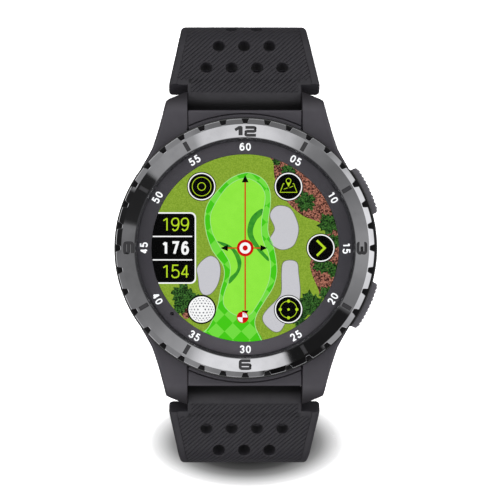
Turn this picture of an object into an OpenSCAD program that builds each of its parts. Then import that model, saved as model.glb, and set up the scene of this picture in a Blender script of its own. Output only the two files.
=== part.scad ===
// Golf GPS watch: a round case with a notched bezel, two pushers, a perforated
// silicone strap in two halves on quick-release spring bars, and a pin buckle.
// It stands face up on its open strap. z = 0 is the surface below the strap,
// +Y points to 12 o'clock and +X to the pusher side. All sizes are millimetres.

/* [Case] */
// Outer radius of the case middle
case_r = 24.9; // [24.8:0.1:25.0]
// Height of the case back above the surface that the strap stands on
back_height = 62; // [58:1:68]
// Height of the case middle's top face above the case back
case_top = 9.9; // [9.9:0.1:10.2]
// Radius of the cavity inside the case
cavity_r = 19.5; // [19.4:0.1:19.6]
// Clear distance between the two lugs of a pair
lug_gap = 22; // [21.8:0.1:22.2]
// Distance of each spring bar from the axis of the case
bar_y = 28.1; // [28.1:0.1:28.4]
// Height of the spring bars above the case back
bar_z = 2.2; // [2.1:0.1:2.4]

/* [Bezel] */
// Outer radius of the toothed bezel
bezel_r = 24.65; // [24.5:0.05:24.7]
// Radius of the bezel's opening
bezel_bore_r = 20.8; // [20.7:0.1:20.9]
// Number of notches around the rim
notch_count = 36; // [24:12:48]
// Width of a notch at the rim
notch_w = 1.4; // [1:0.1:1.6]
// Depth of a notch
notch_depth = 0.9; // [0.6:0.05:0.9]
// Height of the engraved hour numerals
numeral_h = 2.0; // [1.6:0.1:2.1]
// Depth of the numerals and ticks
marking_depth = 0.15; // [0.1:0.05:0.2]

/* [Display] */
// Radius of the visible display, inside the chapter ring
display_view_r = 17.85; // [17.6:0.05:18]
// Radius of the display panel
display_r = 18.6; // [18.4:0.1:18.8]
// Thickness of the cover glass
glass_t = 1.2; // [1:0.1:1.3]

/* [Pushers] */
// Angle of each pusher from 3 o'clock
pusher_angle = 25.5; // [24:0.5:27]
// Radius of the pushers' outer face
pusher_r = 26.5; // [26.1:0.1:26.5]
// Half length of a pusher along the flank
pusher_half_l = 4.75; // [4.5:0.05:4.9]
// Height of a pusher
pusher_h = 3.8; // [3.4:0.1:4]
// Travel of a pusher
pusher_travel = 0.8; // [0.6:0.1:0.8]

/* [Strap] */
// Thickness of the strap
strap_t = 3.0; // [2.8:0.1:3.1]
// Half width of the strap along its length
strap_half_w = 11; // [10.8:0.1:11]
// Extra half width at the shoulders beside the lugs
shoulder_extra = 3.6; // [3:0.1:3.6]
// Angle of the strap below the horizontal where it leaves the lugs
root_angle = 30; // [26:1:32]
// Angle of the strap's side below the horizontal, past upright
side_angle = 94; // [91:1:95]
// Length of the flat tail that lies on the surface
tail_run = 26; // [25:0.5:26.5]
// Diameter of the round perforations
hole_d = 2.35; // [2.1:0.05:2.5]
// Spacing of the perforations
hole_pitch = 4.9; // [4.8:0.05:5]

/* [Buckle] */
// Length of the buckle frame beyond its bar
buckle_l = 9.6; // [9:0.1:10]
// Radius of the buckle bar
buckle_bar_r = 0.75; // [0.7:0.05:0.75]

/* [Hidden] */
$fn = 96;
eps = 0.01;

// Heights inside the case, above the case back
back_t = 1.2;
board_z = 6.8;
board_t = 0.8;
board_r = 18.3;
can_t = 0.9;
frame_z = 8.7;
panel_z = 9.5;
panel_t = 1.4;
ring_z = panel_z + panel_t + 0.05;
ring_t = 0.4;
adhesive_t = 0.1;
glass_z = ring_z + ring_t + adhesive_t;
bezel_top = glass_z + glass_t + 0.1;
battery_z = 2.7;
battery_t = 3.6;
cell = [24, 20, battery_t];

// Bezel section: the face falls outwards, then the rim is bevelled
face_outer_r = bezel_r - 1.1;
face_outer_z = bezel_top - 0.7;
rim_z = bezel_top - 1.55;
ledge_r = 19.3;

// Black ring under the bezel, with a guard between the pushers
trim_inner_r = 23;
trim_r = case_r + 0.05;
trim_t = 1.3;
guard_r = trim_r + 0.25;
guard_half_angle = 14;

// Case back, window and screws
back_r = 20.5;
seat_r = 20.6;
window_r = 8.95;
window_flange_r = 9.75;
window_dome = 0.9;
screw_ring_r = 17.9;
screw_hole_r = 0.52;

// Pushers, along an axis that points out of the case
pusher_z = 5.3;
pocket_floor = 23.0;
cap_floor = pocket_floor + pusher_travel + 0.1;
stem_r = 1.0;
stem_end = 18.55;
clip_u = 19.05;
ring_u = 20.8;
spring_floor = 21.9;
switch_inner = 15.4;
switch_face = 17.6;

// Spring bars, in the strap's own direction
knuckle_r = 1.6;
tube_r = 0.9;
tube_bore_r = 0.6;
tube_end = lug_gap / 2 - 0.3;
tip_r = 0.5;
tip_end = lug_gap / 2 + 1.3;
lever_x = 8.1;
lever_r = 0.45;
release_travel = 1.5;
pin_inner = 3.9;

// Strap halves: length of the sloping root, radius of its bend, radius of the lower corner
long_half = [11.3, 5.0, 16];
short_half = [12.0, 6.5, 15];
shoulder_s = 3.3;
tab_half_w = lug_gap / 2 - 0.1;
width_steps = [[14.5, 1.5], [20, 1], [27, 0]];
border_w = 1.8;
border_drop = 0.9;
inner_chamfer = 0.6;
first_row_s = 7.1;
tip_l = 9;
end_run = 1.5;
keeper_w = 6.5;
keeper_t = 1.1;

function arc_points(c, r, a0, a1, steps) =
    [for (i = [0:steps]) let (a = a0 + (a1 - a0) * i / steps) [c[0] + r * cos(a), c[1] + r * sin(a)]];

// Route of a strap half: y outwards and z upwards from the spring bar's place
function bend_l(half) = half[1] * (side_angle - root_angle) * PI / 180;
function side_start(half) = half[0] + bend_l(half);
function side_l(half) = (back_height + bar_z - strap_t / 2 - half[0] * sin(root_angle)
    - half[1] * (cos(root_angle) - cos(side_angle)) - half[2] * (1 + cos(side_angle))) / sin(side_angle);
function root_l(half) = side_start(half) + side_l(half);
function heading(half, s) = s <= half[0] ? root_angle
    : s >= side_start(half) ? side_angle : root_angle + (s - half[0]) / half[1] * 180 / PI;
function route(half, s) =
    let (a = heading(half, s), straight = min(s, half[0]), side = max(0, s - side_start(half)))
    [bar_y + straight * cos(root_angle) + half[1] * (sin(a) - sin(root_angle)) + side * cos(side_angle),
     back_height + bar_z - straight * sin(root_angle) + half[1] * (cos(a) - cos(root_angle))
        - side * sin(side_angle)];
function corner_centre(half) =
    let (p = route(half, root_l(half)))
    [p[0] - half[2] * sin(side_angle), p[1] - half[2] * cos(side_angle)];
function half_width(s) = strap_half_w + lookup(s, concat([[shoulder_s, shoulder_extra]], width_steps));

// Section of the strap: x across, y outwards through its thickness
function strap_section(w) = let (t = strap_t / 2) [
    [-w, t - border_drop], [-w, inner_chamfer - t], [inner_chamfer - w, -t], [w - inner_chamfer, -t],
    [w, inner_chamfer - t], [w, t - border_drop], [w - border_w, t], [border_w - w, t]];

function ring_points(half, s) =
    let (p = route(half, s), a = heading(half, s))
    [for (q = strap_section(half_width(s))) [q[0], p[0] + q[1] * sin(a), p[1] + q[1] * cos(a)]];

// Joins rings of points into a closed solid
module loft(rings) {
    n = len(rings[0]);
    last = (len(rings) - 1) * n;
    points = [for (ring = rings) for (p = ring) p];
    sides = [for (i = [0:len(rings) - 2]) for (j = [0:n - 1])
        let (a = i * n + j, b = i * n + (j + 1) % n) each [[a, b, b + n], [a, b + n, a + n]]];
    start_cap = [[for (j = [0:n - 1]) n - 1 - j]];
    end_cap = [[for (j = [0:n - 1]) last + j]];
    polyhedron(points = points, faces = concat(start_cap, sides, end_cap));
}

// A coil of round wire along z, with its lowest and highest points at z0 and z1
module coil(mean_r, wire_r, turns, z0, z1, per_turn, sides) {
    steps = turns * per_turn;
    rise = z1 - z0 - 2 * wire_r;
    loft([for (i = [0:steps]) let (a = -i * 360 / per_turn)
        [for (j = [0:sides - 1]) let (b = j * 360 / sides, r = mean_r + wire_r * cos(b))
            [r * cos(a), r * sin(a), z0 + wire_r + rise * i / steps + wire_r * sin(b)]]]);
}

module in_case() translate([0, 0, back_height]) children();
module ring(r0, r1, z, h) translate([0, 0, z]) linear_extrude(h) difference() {
    circle(r1);
    circle(r0);
}
module disc(r, z, h) translate([0, 0, z]) cylinder(r = r, h = h);
module rod_x(r, x0, x1) translate([x0, 0, 0]) rotate([0, 90, 0]) cylinder(r = r, h = x1 - x0);
module block(x, y, z) translate([x[0], y[0], z[0]]) cube([x[1] - x[0], y[1] - y[0], z[1] - z[0]]);
module rounded_plate(size, r) linear_extrude(size[2]) union() {
    square([size[0] - 2 * r, size[1]], center = true);
    square([size[0], size[1] - 2 * r], center = true);
    for (x = [-1, 1], y = [-1, 1]) translate([x * (size[0] / 2 - r), y * (size[1] / 2 - r)]) circle(r);
}
module at_angles(count, first = 0) for (i = [0:count - 1]) rotate(first + i * 360 / count) children();
module both_ends() {
    children();
    mirror([0, 1, 0]) children();
}
// Places a pusher's parts: z runs out of the case along the pusher's axis
module on_pusher_axis(side) in_case() rotate(side * pusher_angle) translate([0, 0, pusher_z])
    rotate([0, 90, 0]) children();
// Places a strap's parts: y runs along the strap away from the case, z out of its outer face
module on_strap(half, s) translate([0, route(half, s)[0], route(half, s)[1]])
    rotate([-heading(half, s), 0, 0]) children();
// Turns a half of the strap towards 6 o'clock
module toward_six() mirror([0, 1, 0]) children();

// ---- Case ----

case_section = concat(
    [[cavity_r, back_t], [seat_r, back_t], [seat_r, 0.3], [22.3, 0.3]],
    arc_points([case_r - 5.6, 5.6], 5.6, -54, 0, 9),
    [[case_r, case_top - trim_t], [trim_inner_r, case_top - trim_t], [trim_inner_r, case_top],
     [cavity_r, case_top]]);

// Outline of one lug seen from above, from the case to the tip
lug_plan = [[lug_gap / 2, 14], [20.1, 14.9], [18.9, 16.9], [17.8, 18.9], [17.2, 20.6], [16.5, 22.8],
    [15.6, 26.2], [15.0, 28.1], [14.5, 28.6], [lug_gap / 2, 30.1]];
lug_top_z = 8.5;
arc_half_angle = 25;
lug_tip_r = 5.2;
lug_tip = [bar_y - 3.3, bar_z + 0.5];
// Outline of a lug from the side: a level top that rolls over to the tip
module lug_side() polygon(concat([[12, 0.9], [12, lug_top_z], [20.5, lug_top_z]],
    arc_points(lug_tip, lug_tip_r, 88, -20, 18), [[27.4, 0.4]]));

module lug_pair() {
    for (side = [0, 1]) mirror([side, 0, 0]) intersection() {
        linear_extrude(case_top) polygon(lug_plan);
        rotate([90, 0, 90]) linear_extrude(case_r) lug_side();
    }
    // Panel between the lugs, and the raised arc along the bezel
    rotate([90, 0, 90]) translate([0, 0, -lug_gap / 2 - eps]) linear_extrude(lug_gap + 2 * eps)
        polygon([[20, 1.4], [20, 7.9], [26.1, 7.7], [26.4, 7.3], [26.4, 3.2], [25.4, 1.4]]);
    rotate(90 - arc_half_angle) rotate_extrude(angle = 2 * arc_half_angle)
        translate([cavity_r + 2, 4]) square([25.55 - cavity_r - 2, lug_top_z - 4]);
}

module screw_posts() for (a = [45:90:315]) rotate(a) translate([screw_ring_r, 0, back_t])
    cylinder(r = 1.9, h = 3.6);

module mid_case() color("#48474c") in_case() difference() {
    union() {
        rotate_extrude() polygon(case_section);
        difference() {
            both_ends() lug_pair();
            disc(cavity_r + 1, -1, case_top + 2);
        }
        intersection() {
            screw_posts();
            disc(cavity_r + 0.3, 0, case_top);
        }
    }
    ring(19.7, 20.4, back_t - eps, 0.6 + eps);
    for (a = [45:90:315]) rotate(a) translate([screw_ring_r, 0, 0]) cylinder(r = screw_hole_r, h = 4.2);
    both_ends() translate([0, bar_y, bar_z]) {
        rod_x(knuckle_r + 0.15, -lug_gap / 2, lug_gap / 2);
        rod_x(tip_r + 0.05, -tip_end - 0.3, tip_end + 0.3);
    }
    for (side = [-1, 1]) rotate(side * pusher_angle) translate([0, 0, pusher_z]) rotate([0, 90, 0]) {
        block([-pusher_h / 2 - 0.2, pusher_h / 2 + 0.2], [-pusher_half_l - 0.2, pusher_half_l + 0.2],
            [pocket_floor, pusher_r + 1]);
        disc(stem_r + 0.05, cavity_r - 1, 6);
        disc(1.8, spring_floor, 3);
    }
}

module trim_ring() color("#141416") in_case() translate([0, 0, case_top - trim_t]) {
    ring(trim_inner_r + 0.02, trim_r, 0, trim_t - 0.02);
    rotate(-guard_half_angle) rotate_extrude(angle = 2 * guard_half_angle)
        translate([trim_inner_r + 1, 0]) square([guard_r - trim_inner_r - 1, trim_t - 0.02]);
}

// Square-built digits: strokes switched on as in a seven-bar display
// Order of the bars: top, middle, bottom, upper left, upper right, lower left, lower right
function bars(digit) = digit == 1 ? [0, 0, 0, 0, 1, 0, 1] : digit == 2 ? [1, 1, 1, 0, 1, 1, 0]
    : digit == 3 ? [1, 1, 1, 0, 1, 0, 1] : digit == 6 ? [1, 1, 1, 1, 0, 1, 1] : [1, 1, 1, 1, 1, 0, 1];
module digit_outline(digit, w, h, t) {
    on = bars(digit);
    for (i = [0:2]) if (on[i] == 1) translate([-w / 2, h / 2 - t - i * (h - t) / 2]) square([w, t]);
    for (i = [0:3]) if (on[i + 3] == 1)
        translate([i % 2 == 0 ? -w / 2 : w / 2 - t, i < 2 ? -t / 2 : -h / 2]) square([t, h / 2 + t / 2]);
}
digit_t = numeral_h * 0.24;
module hour_numerals() {
    r = (bezel_bore_r + face_outer_r) / 2;
    translate([0, r]) {
        translate([-1.35, 0]) digit_outline(1, 1.6, numeral_h, digit_t * 1.1);
        translate([1.0, 0]) digit_outline(2, 2.1, numeral_h, digit_t);
    }
    rotate(-90) translate([0, r]) digit_outline(3, 2.3, numeral_h, digit_t);
    translate([0, -r]) digit_outline(6, 2.3, numeral_h, digit_t);
    rotate(90) translate([0, r]) digit_outline(9, 2.3, numeral_h, digit_t);
}
module hour_ticks() for (hour = [1, 2, 4, 5, 7, 8, 10, 11]) rotate(-30 * hour)
    translate([-0.4, bezel_bore_r + 0.5]) square([0.8, 1.9]);
// A layer of the bezel's sloping face, from the given depth up to the given height
module face_layer(depth, above) rotate_extrude() polygon([
    [bezel_bore_r, bezel_top - depth], [face_outer_r, face_outer_z - depth],
    [face_outer_r, face_outer_z + above], [bezel_bore_r, bezel_top + above]]);
module marking_solids(above) intersection() {
    face_layer(marking_depth, above);
    translate([0, 0, face_outer_z - 1]) linear_extrude(3) union() {
        hour_numerals();
        hour_ticks();
    }
}
notch_outline = [[-notch_w / 2, 0.2], [-notch_w / 2, 0], [-notch_w / 2 + 0.22, -notch_depth + 0.15],
    [-notch_w / 2 + 0.4, -notch_depth], [notch_w / 2 - 0.4, -notch_depth],
    [notch_w / 2 - 0.22, -notch_depth + 0.15], [notch_w / 2, 0], [notch_w / 2, 0.2]];

module bezel() color("#9a9ba0") in_case() difference() {
    rotate_extrude() polygon([[ledge_r, case_top], [bezel_r, case_top], [bezel_r, rim_z],
        [face_outer_r, face_outer_z], [bezel_bore_r, bezel_top], [bezel_bore_r, ring_z],
        [ledge_r, ring_z]]);
    at_angles(notch_count, 90) translate([bezel_r, 0, case_top - 1]) rotate(-90)
        linear_extrude(5) polygon(notch_outline);
    marking_solids(1);
}
module bezel_markings() color("#343338") in_case() marking_solids(0);

// ---- Glass and display ----

module cover_glass() color("#c8d4dc", 0.35) in_case() disc(bezel_bore_r - 0.1, glass_z, glass_t);
module glass_adhesive() color("#202022") in_case()
    ring(bezel_bore_r - 0.45, bezel_bore_r - 0.15, glass_z - adhesive_t, adhesive_t);
light_sensor_at = [-13.9, -12.5];
module chapter_ring() color("#3a383d") in_case() difference() {
    ring(display_view_r, bezel_bore_r - 0.1, ring_z, ring_t);
    translate(light_sensor_at) disc(0.4, ring_z - 1, 2);
}
module light_sensor() color("#0c0c0e") in_case() translate(light_sensor_at) disc(0.36, ring_z, ring_t);
module display_panel() color("#5aa83a") in_case() disc(display_r, panel_z, panel_t);
module display_frame() color("#2b2b2e") in_case() difference() {
    ring(12, cavity_r - 0.2, frame_z, panel_z - frame_z);
    block([-5, 5], [-cavity_r - 1, -16.5], [frame_z - 1, panel_z + 1]);
}
// Ribbon cable from the back of the display down to the board
module display_flex() color("#b5722a") in_case() rotate([90, 0, 90]) translate([0, 0, -4])
    linear_extrude(8) difference() {
        translate([-18.95, board_z + board_t]) square([2, panel_z - board_z - board_t]);
        translate([-18.8, board_z + board_t + 0.15]) square([2, panel_z - board_z - board_t - 0.3]);
    }

// ---- Inside the case ----

module main_board() color("#1d6b3c") in_case() difference() {
    disc(board_r, board_z, board_t);
    for (a = [135, 315]) rotate(a) translate([board_r, 0, board_z - 1]) cylinder(r = 1.2, h = 3);
}
module shield_cans() color("#c2c4c8") in_case() translate([0, 0, board_z + board_t]) {
    translate([-6.5, 4, 0]) rounded_plate([10, 9, can_t], 0.6);
    translate([6, 5.5, 0]) rounded_plate([11, 7, can_t], 0.6);
    translate([-1, -7.5, 0]) rounded_plate([13, 8, can_t], 0.6);
}
module board_chips() color("#18181a") in_case() {
    for (x = [-6, 0, 6]) translate([x, 12.5, board_z - 0.7]) rounded_plate([3.4, 3.4, 0.7], 0.2);
    translate([-14.2, 0, board_z - 1.1]) rounded_plate([3, 8, 1.1], 0.3);
    translate([-14.2, 7.6, board_z - 0.6]) rounded_plate([2.4, 2.4, 0.6], 0.2);
    translate([-14.2, -7.4, board_z - 0.6]) rounded_plate([2, 3, 0.6], 0.2);
}
module battery() color("#b9bec4") in_case() translate([0, 0, battery_z]) rounded_plate(cell, 1.5);
module battery_pad() color("#303033") in_case() translate([0, 0, battery_z + battery_t])
    rounded_plate([22, 18, board_z - battery_z - battery_t], 1);
// Antenna on a curved carrier that follows the case wall at 12 o'clock
module gps_antenna() color("#c9a14a") in_case() translate([0, 0, 3]) rotate(62)
    rotate_extrude(angle = 56) translate([18.6, 0]) square([0.7, 5.4]);

motor_at = [0, -14.6, board_z - 2.7];
module vibration_motor_case() color("#a9abb0") in_case() translate(motor_at) {
    difference() {
        cylinder(r = 4, h = 2.7);
        translate([0, 0, 0.4]) cylinder(r = 3.6, h = 1.9);
    }
    translate([0, 0, 0.4]) cylinder(r = 0.4, h = 1.9);
}
module vibration_weight() color("#6c6a66") in_case() translate(motor_at) translate([0, 0, 0.6])
    linear_extrude(1.5) difference() {
        union() {
            circle(0.9);
            intersection() {
                circle(3.3);
                translate([-4, -8]) square([8, 8]);
            }
        }
        circle(0.45);
    }
module sensor_board() color("#27563a") in_case() disc(9, 1.7, 0.6);
module sensor_leds() color("#d6f5d0") in_case() translate([0, 0, back_t + 0.05]) {
    for (a = [0, 120, 240]) rotate(a) translate([3.2, 0, 0]) rounded_plate([1.6, 1.2, 0.45], 0.2);
    for (a = [60, 180, 300]) rotate(a) translate([5.6, 0, 0]) rounded_plate([2.2, 2.2, 0.45], 0.2);
    rounded_plate([2, 2, 0.45], 0.2);
}
module sensor_window() color("#101216") in_case() {
    disc(window_flange_r, 0.62, back_t - 0.62);
    disc(window_r, 0, 0.7);
    // Shallow dome that presses on the skin
    dome_r = (window_r * window_r + window_dome * window_dome) / (2 * window_dome);
    half_angle = asin(window_r / dome_r);
    rotate_extrude() polygon(concat([[0, eps]],
        arc_points([0, dome_r - window_dome], dome_r, -90, -90 + half_angle, 12)));
}
module case_back() color("#2f2f33") in_case() difference() {
    disc(back_r, 0, back_t);
    disc(window_r + 0.05, -1, 3);
    disc(window_flange_r + 0.05, 0.6, 2);
    for (a = [45:90:315]) rotate(a) translate([screw_ring_r, 0, 0]) {
        disc(0.7, -1, 3);
        disc(1.25, -1, 1.6);
    }
    for (x = [-4.5:3:4.5]) translate([x, -13.5, 0]) disc(0.72, -1, 3);
}
module case_back_gasket() color("#1b1b1d") in_case() rotate_extrude() translate([20.05, back_t + 0.3])
    circle(0.3);
module case_back_screws() color("#8f9196") in_case() for (a = [45:90:315]) rotate(a)
    translate([screw_ring_r, 0, 0]) difference() {
        union() {
            disc(0.5, 0.5, 3.4);
            disc(1.2, 0.02, 0.56);
        }
        translate([0, 0, -1]) cylinder(r = 0.45, h = 1.4, $fn = 6);
    }
module charging_contacts() color("#d1ad5b") in_case() for (x = [-4.5:3:4.5])
    translate([x, -13.5, 0]) union() {
        disc(0.7, 0, back_t);
        disc(1.1, back_t + 0.02, 0.4);
        disc(0.5, back_t - 0.2, 0.4);
    }

// ---- Pushers ----

module pusher(side) color("#4f4e53") on_pusher_axis(side) difference() {
    intersection() {
        block([-pusher_h / 2, pusher_h / 2], [-pusher_half_l, pusher_half_l], [cap_floor, pusher_r + 1]);
        rotate([0, -90, 0]) cylinder(r = pusher_r, h = 10, center = true);
    }
    disc(stem_r, 0, cap_floor + 0.3);
}
module stem(side) color("#a5a6aa") on_pusher_axis(side) difference() {
    disc(stem_r, stem_end, cap_floor + 0.3 - stem_end);
    ring(0.62, 2, ring_u - 0.3, 0.6);
    ring(0.7, 2, clip_u - 0.05, 0.4);
}
module o_ring(side) color("#1a1a1c") on_pusher_axis(side) translate([0, 0, ring_u])
    rotate_extrude() translate([0.83, 0]) circle(0.2);
module clip(side) color("#8a8c90") on_pusher_axis(side) difference() {
    ring(0.72, 1.6, clip_u, 0.3);
    block([0, 2], [-0.55, 0.55], [clip_u - 1, clip_u + 1]);
}
module button_spring(side) color("#b8babd") on_pusher_axis(side)
    coil(1.4, 0.14, 3, spring_floor + 0.02, cap_floor - 0.02, 16, 6);
module plunger(side) color("#e0ded8") on_pusher_axis(side) disc(0.8, 17, stem_end - 17);
module tact_switch(side) color("#2a2a2c") on_pusher_axis(side) difference() {
    block([pusher_z - board_z, 1.3], [-2.2, 2.2], [switch_inner, switch_face]);
    disc(0.85, 16.1, 3);
}

// ---- Strap ----

// Root of a half: knuckle and tab between the lugs, shoulders, slope, bend and side
module strap_root(half) {
    bend_steps = 8;
    stations = concat([shoulder_s, 4.5, 6, 8, half[0]],
        [for (i = [1:bend_steps]) half[0] + bend_l(half) * i / bend_steps],
        [for (f = [0.08, 0.18, 0.3, 0.45, 0.7, 1]) side_start(half) + side_l(half) * f]);
    difference() {
        union() {
            loft([for (s = stations) ring_points(half, s)]);
            on_strap(half, 0) {
                rod_x(knuckle_r, -tab_half_w, tab_half_w);
                block([-tab_half_w, tab_half_w], [0, shoulder_s + 0.5], [-strap_t / 2, strap_t / 2]);
            }
        }
        on_strap(half, 0) {
            rod_x(tube_r + 0.05, -tab_half_w - 1, tab_half_w + 1);
            block([lever_x - release_travel - 0.7, lever_x + 0.7], [-0.65, 0.65], [-3, 0]);
        }
        perforations(half);
    }
}
// Four, three, two, then one hole: each row is staggered against the last
module perforations(half) for (row = [0:3]) on_strap(half, first_row_s + row * hole_pitch)
    for (i = [0:3 - row]) translate([(i - (3 - row) / 2) * hole_pitch, 0, 0])
        cylinder(d = hole_d, h = 3 * strap_t, center = true);

module section_outline() polygon([for (q = strap_section(strap_half_w)) [q[1], q[0]]]);
// Lower corner of a half, from its side to the level run
module corner(half) translate([0, corner_centre(half)[0], corner_centre(half)[1]]) rotate([0, 90, 0])
    rotate_extrude(angle = 180 - side_angle) translate([half[2], 0]) section_outline();
// Level run of a half, from the corner inwards to the given length
module level_run(half, length) translate([0, corner_centre(half)[0] - length, strap_t / 2])
    rotate([-90, 0, 0]) linear_extrude(length)
    polygon([for (q = strap_section(strap_half_w)) [q[0], q[1]]]);

tail_tip_y = tail_run - corner_centre(long_half)[0];
adjust_first = 9.5;
adjust_pitch = 6;
module strap_tail() color("#39383c") toward_six() difference() {
    union() {
        corner(long_half);
        intersection() {
            level_run(long_half, tail_run);
            translate([0, -tail_tip_y, -1]) linear_extrude(strap_t + 2) union() {
                translate([-strap_half_w - 1, tip_l]) square([2 * strap_half_w + 2, tail_run]);
                translate([0, tip_l]) polygon(
                    [for (a = [180:7.5:360]) [strap_half_w * cos(a), (tip_l - 0.3) * sin(a)]]);
            }
        }
    }
    for (i = [0:2]) translate([0, -tail_tip_y + adjust_first + i * adjust_pitch, 0])
        cylinder(d = hole_d, h = 3 * strap_t, center = true);
    for (a = [8, 29, 50, 71]) corner_hole(long_half, a);
}
// A hole through the corner, at an angle from where the strap becomes level
module corner_hole(half, a) translate([0, corner_centre(half)[0], corner_centre(half)[1]])
    rotate([a, 0, 0]) translate([0, 0, -half[2] - strap_t]) cylinder(d = hole_d, h = 2 * strap_t);

bar_at = [0, corner_centre(short_half)[0] - end_run, strap_t / 2];
module strap_end() color("#39383c") difference() {
    union() {
        corner(short_half);
        level_run(short_half, end_run);
        translate(bar_at) rod_x(strap_t / 2, -strap_half_w, strap_half_w);
    }
    translate(bar_at) {
        rod_x(buckle_bar_r + 0.06, -20, 20);
        block([-1.6, 1.6], [-4, 2.4], [-4, 4]);
    }
}

module spring_bar_tube(half) color("#9c9ea2") on_strap(half, 0) difference() {
    union() {
        rod_x(tube_r, -tube_end, tube_end);
        rod_x(tip_r, -tip_end, 0);
    }
    rod_x(tube_bore_r, 0.2, 20);
    block([lever_x - release_travel - 0.6, lever_x + 0.6], [-0.5, 0.5], [-2, 0]);
}
module release_pin(half) color("#b4b6ba") on_strap(half, 0) {
    rod_x(tube_bore_r - 0.05, pin_inner, tube_end);
    rod_x(tip_r, tube_end - eps, tip_end);
    translate([lever_x, 0, -knuckle_r - 0.4]) cylinder(r = lever_r, h = knuckle_r + 0.4);
}
module release_spring(half) color("#c4c6c9") on_strap(half, 0) rotate([0, 90, 0])
    coil(0.42, 0.1, 6, 0.22, pin_inner - 0.02, 12, 6);

// ---- Buckle and keepers ----

arm_x = [strap_half_w + 0.3, strap_half_w + 2.3];
cross_z = 0.4;
cross_r = 1.15;
module buckle_frame() color("#3c3d41") translate(bar_at) difference() {
    union() {
        for (side = [0, 1]) mirror([side, 0, 0]) rotate([90, 0, 90]) translate([0, 0, arm_x[0]])
            linear_extrude(arm_x[1] - arm_x[0]) union() {
                circle(1.35);
                translate([-buckle_l, -0.9]) square([buckle_l, 1.9]);
            }
        translate([0, -buckle_l, cross_z]) rod_x(cross_r, -arm_x[1], arm_x[1]);
    }
    rod_x(buckle_bar_r + 0.01, -20, 20);
    block([-1.4, 1.4], [-buckle_l - 2, -buckle_l + 2], [-3, -0.45]);
}
module buckle_bar() color("#8b8d91") translate(bar_at)
    rod_x(buckle_bar_r, 0.2 - arm_x[1], arm_x[1] - 0.2);
module buckle_tang() color("#4a4b50") translate(bar_at) difference() {
    union() {
        rod_x(1.3, -1.2, 1.2);
        rotate([90, 0, 90]) translate([0, 0, -1.2]) linear_extrude(2.4) polygon([[0, 0.3], [0, -1.3],
            [-2.5, -1.4], [-buckle_l - 1.4, -1.35], [-buckle_l - 1.4, -0.8], [-8, -0.5], [-2.5, -0.3]]);
    }
    rod_x(buckle_bar_r + 0.07, -20, 20);
}
// Keepers: each loop holds one strap and leaves room for the other half's tail
keeper_room = strap_t + 0.4;
module keeper_outline(half_w, inside, outside) difference() {
    translate([-inside - keeper_t, -half_w - keeper_t])
        square([inside + outside + 2 * keeper_t, 2 * (half_w + keeper_t)]);
    translate([-inside, -half_w]) square([inside + outside, 2 * half_w]);
}
// The fixed keeper stands off the outer face, and the loose one hangs off the inner face
fixed_keeper_angle = 56;
module fixed_keeper() color("#39383c") let (r = short_half[2], a = keeper_w / r * 180 / PI)
    translate([0, corner_centre(short_half)[0], corner_centre(short_half)[1]]) rotate([0, 90, 0])
    rotate(fixed_keeper_angle - a / 2) rotate_extrude(angle = a) translate([r, 0])
    keeper_outline(strap_half_w + 0.15, strap_t / 2, strap_t / 2 + keeper_room);
free_keeper_s = side_start(short_half) + 21;
module free_keeper() color("#39383c") on_strap(short_half, free_keeper_s) rotate([90, 0, 0])
    translate([0, 0, -keeper_w / 2]) linear_extrude(keeper_w) rotate(90)
    keeper_outline(strap_half_w + 0.6, strap_t / 2 + keeper_room, strap_t / 2 + 0.2);

mid_case();
trim_ring();
bezel();
bezel_markings();
cover_glass();
glass_adhesive();
chapter_ring();
light_sensor();
display_panel();
display_frame();
display_flex();
main_board();
shield_cans();
board_chips();
battery();
battery_pad();
gps_antenna();
vibration_motor_case();
vibration_weight();
sensor_board();
sensor_leds();
sensor_window();
case_back();
case_back_gasket();
case_back_screws();
charging_contacts();
tact_switch(1);  // upper_switch
tact_switch(-1);  // lower_switch
pusher(1);  // upper_pusher
pusher(-1);  // lower_pusher
stem(1);  // upper_stem
stem(-1);  // lower_stem
o_ring(1);  // upper_o_ring
o_ring(-1);  // lower_o_ring
clip(1);  // upper_clip
clip(-1);  // lower_clip
button_spring(1);  // upper_spring
button_spring(-1);  // lower_spring
plunger(1);  // upper_plunger
plunger(-1);  // lower_plunger
color("#39383c") toward_six() strap_root(long_half);  // long_strap_root
strap_tail();  // long_strap_tail
color("#39383c") strap_root(short_half);  // short_strap_root
strap_end();  // short_strap_end
toward_six() spring_bar_tube(long_half);  // long_spring_bar_tube
spring_bar_tube(short_half);  // short_spring_bar_tube
toward_six() release_pin(long_half);  // long_release_pin
release_pin(short_half);  // short_release_pin
toward_six() release_spring(long_half);  // long_release_spring
release_spring(short_half);  // short_release_spring
buckle_frame();
buckle_bar();
buckle_tang();
fixed_keeper();
free_keeper();
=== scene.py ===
import math
import bmesh
import bpy
from mathutils import Matrix, Vector


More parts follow.
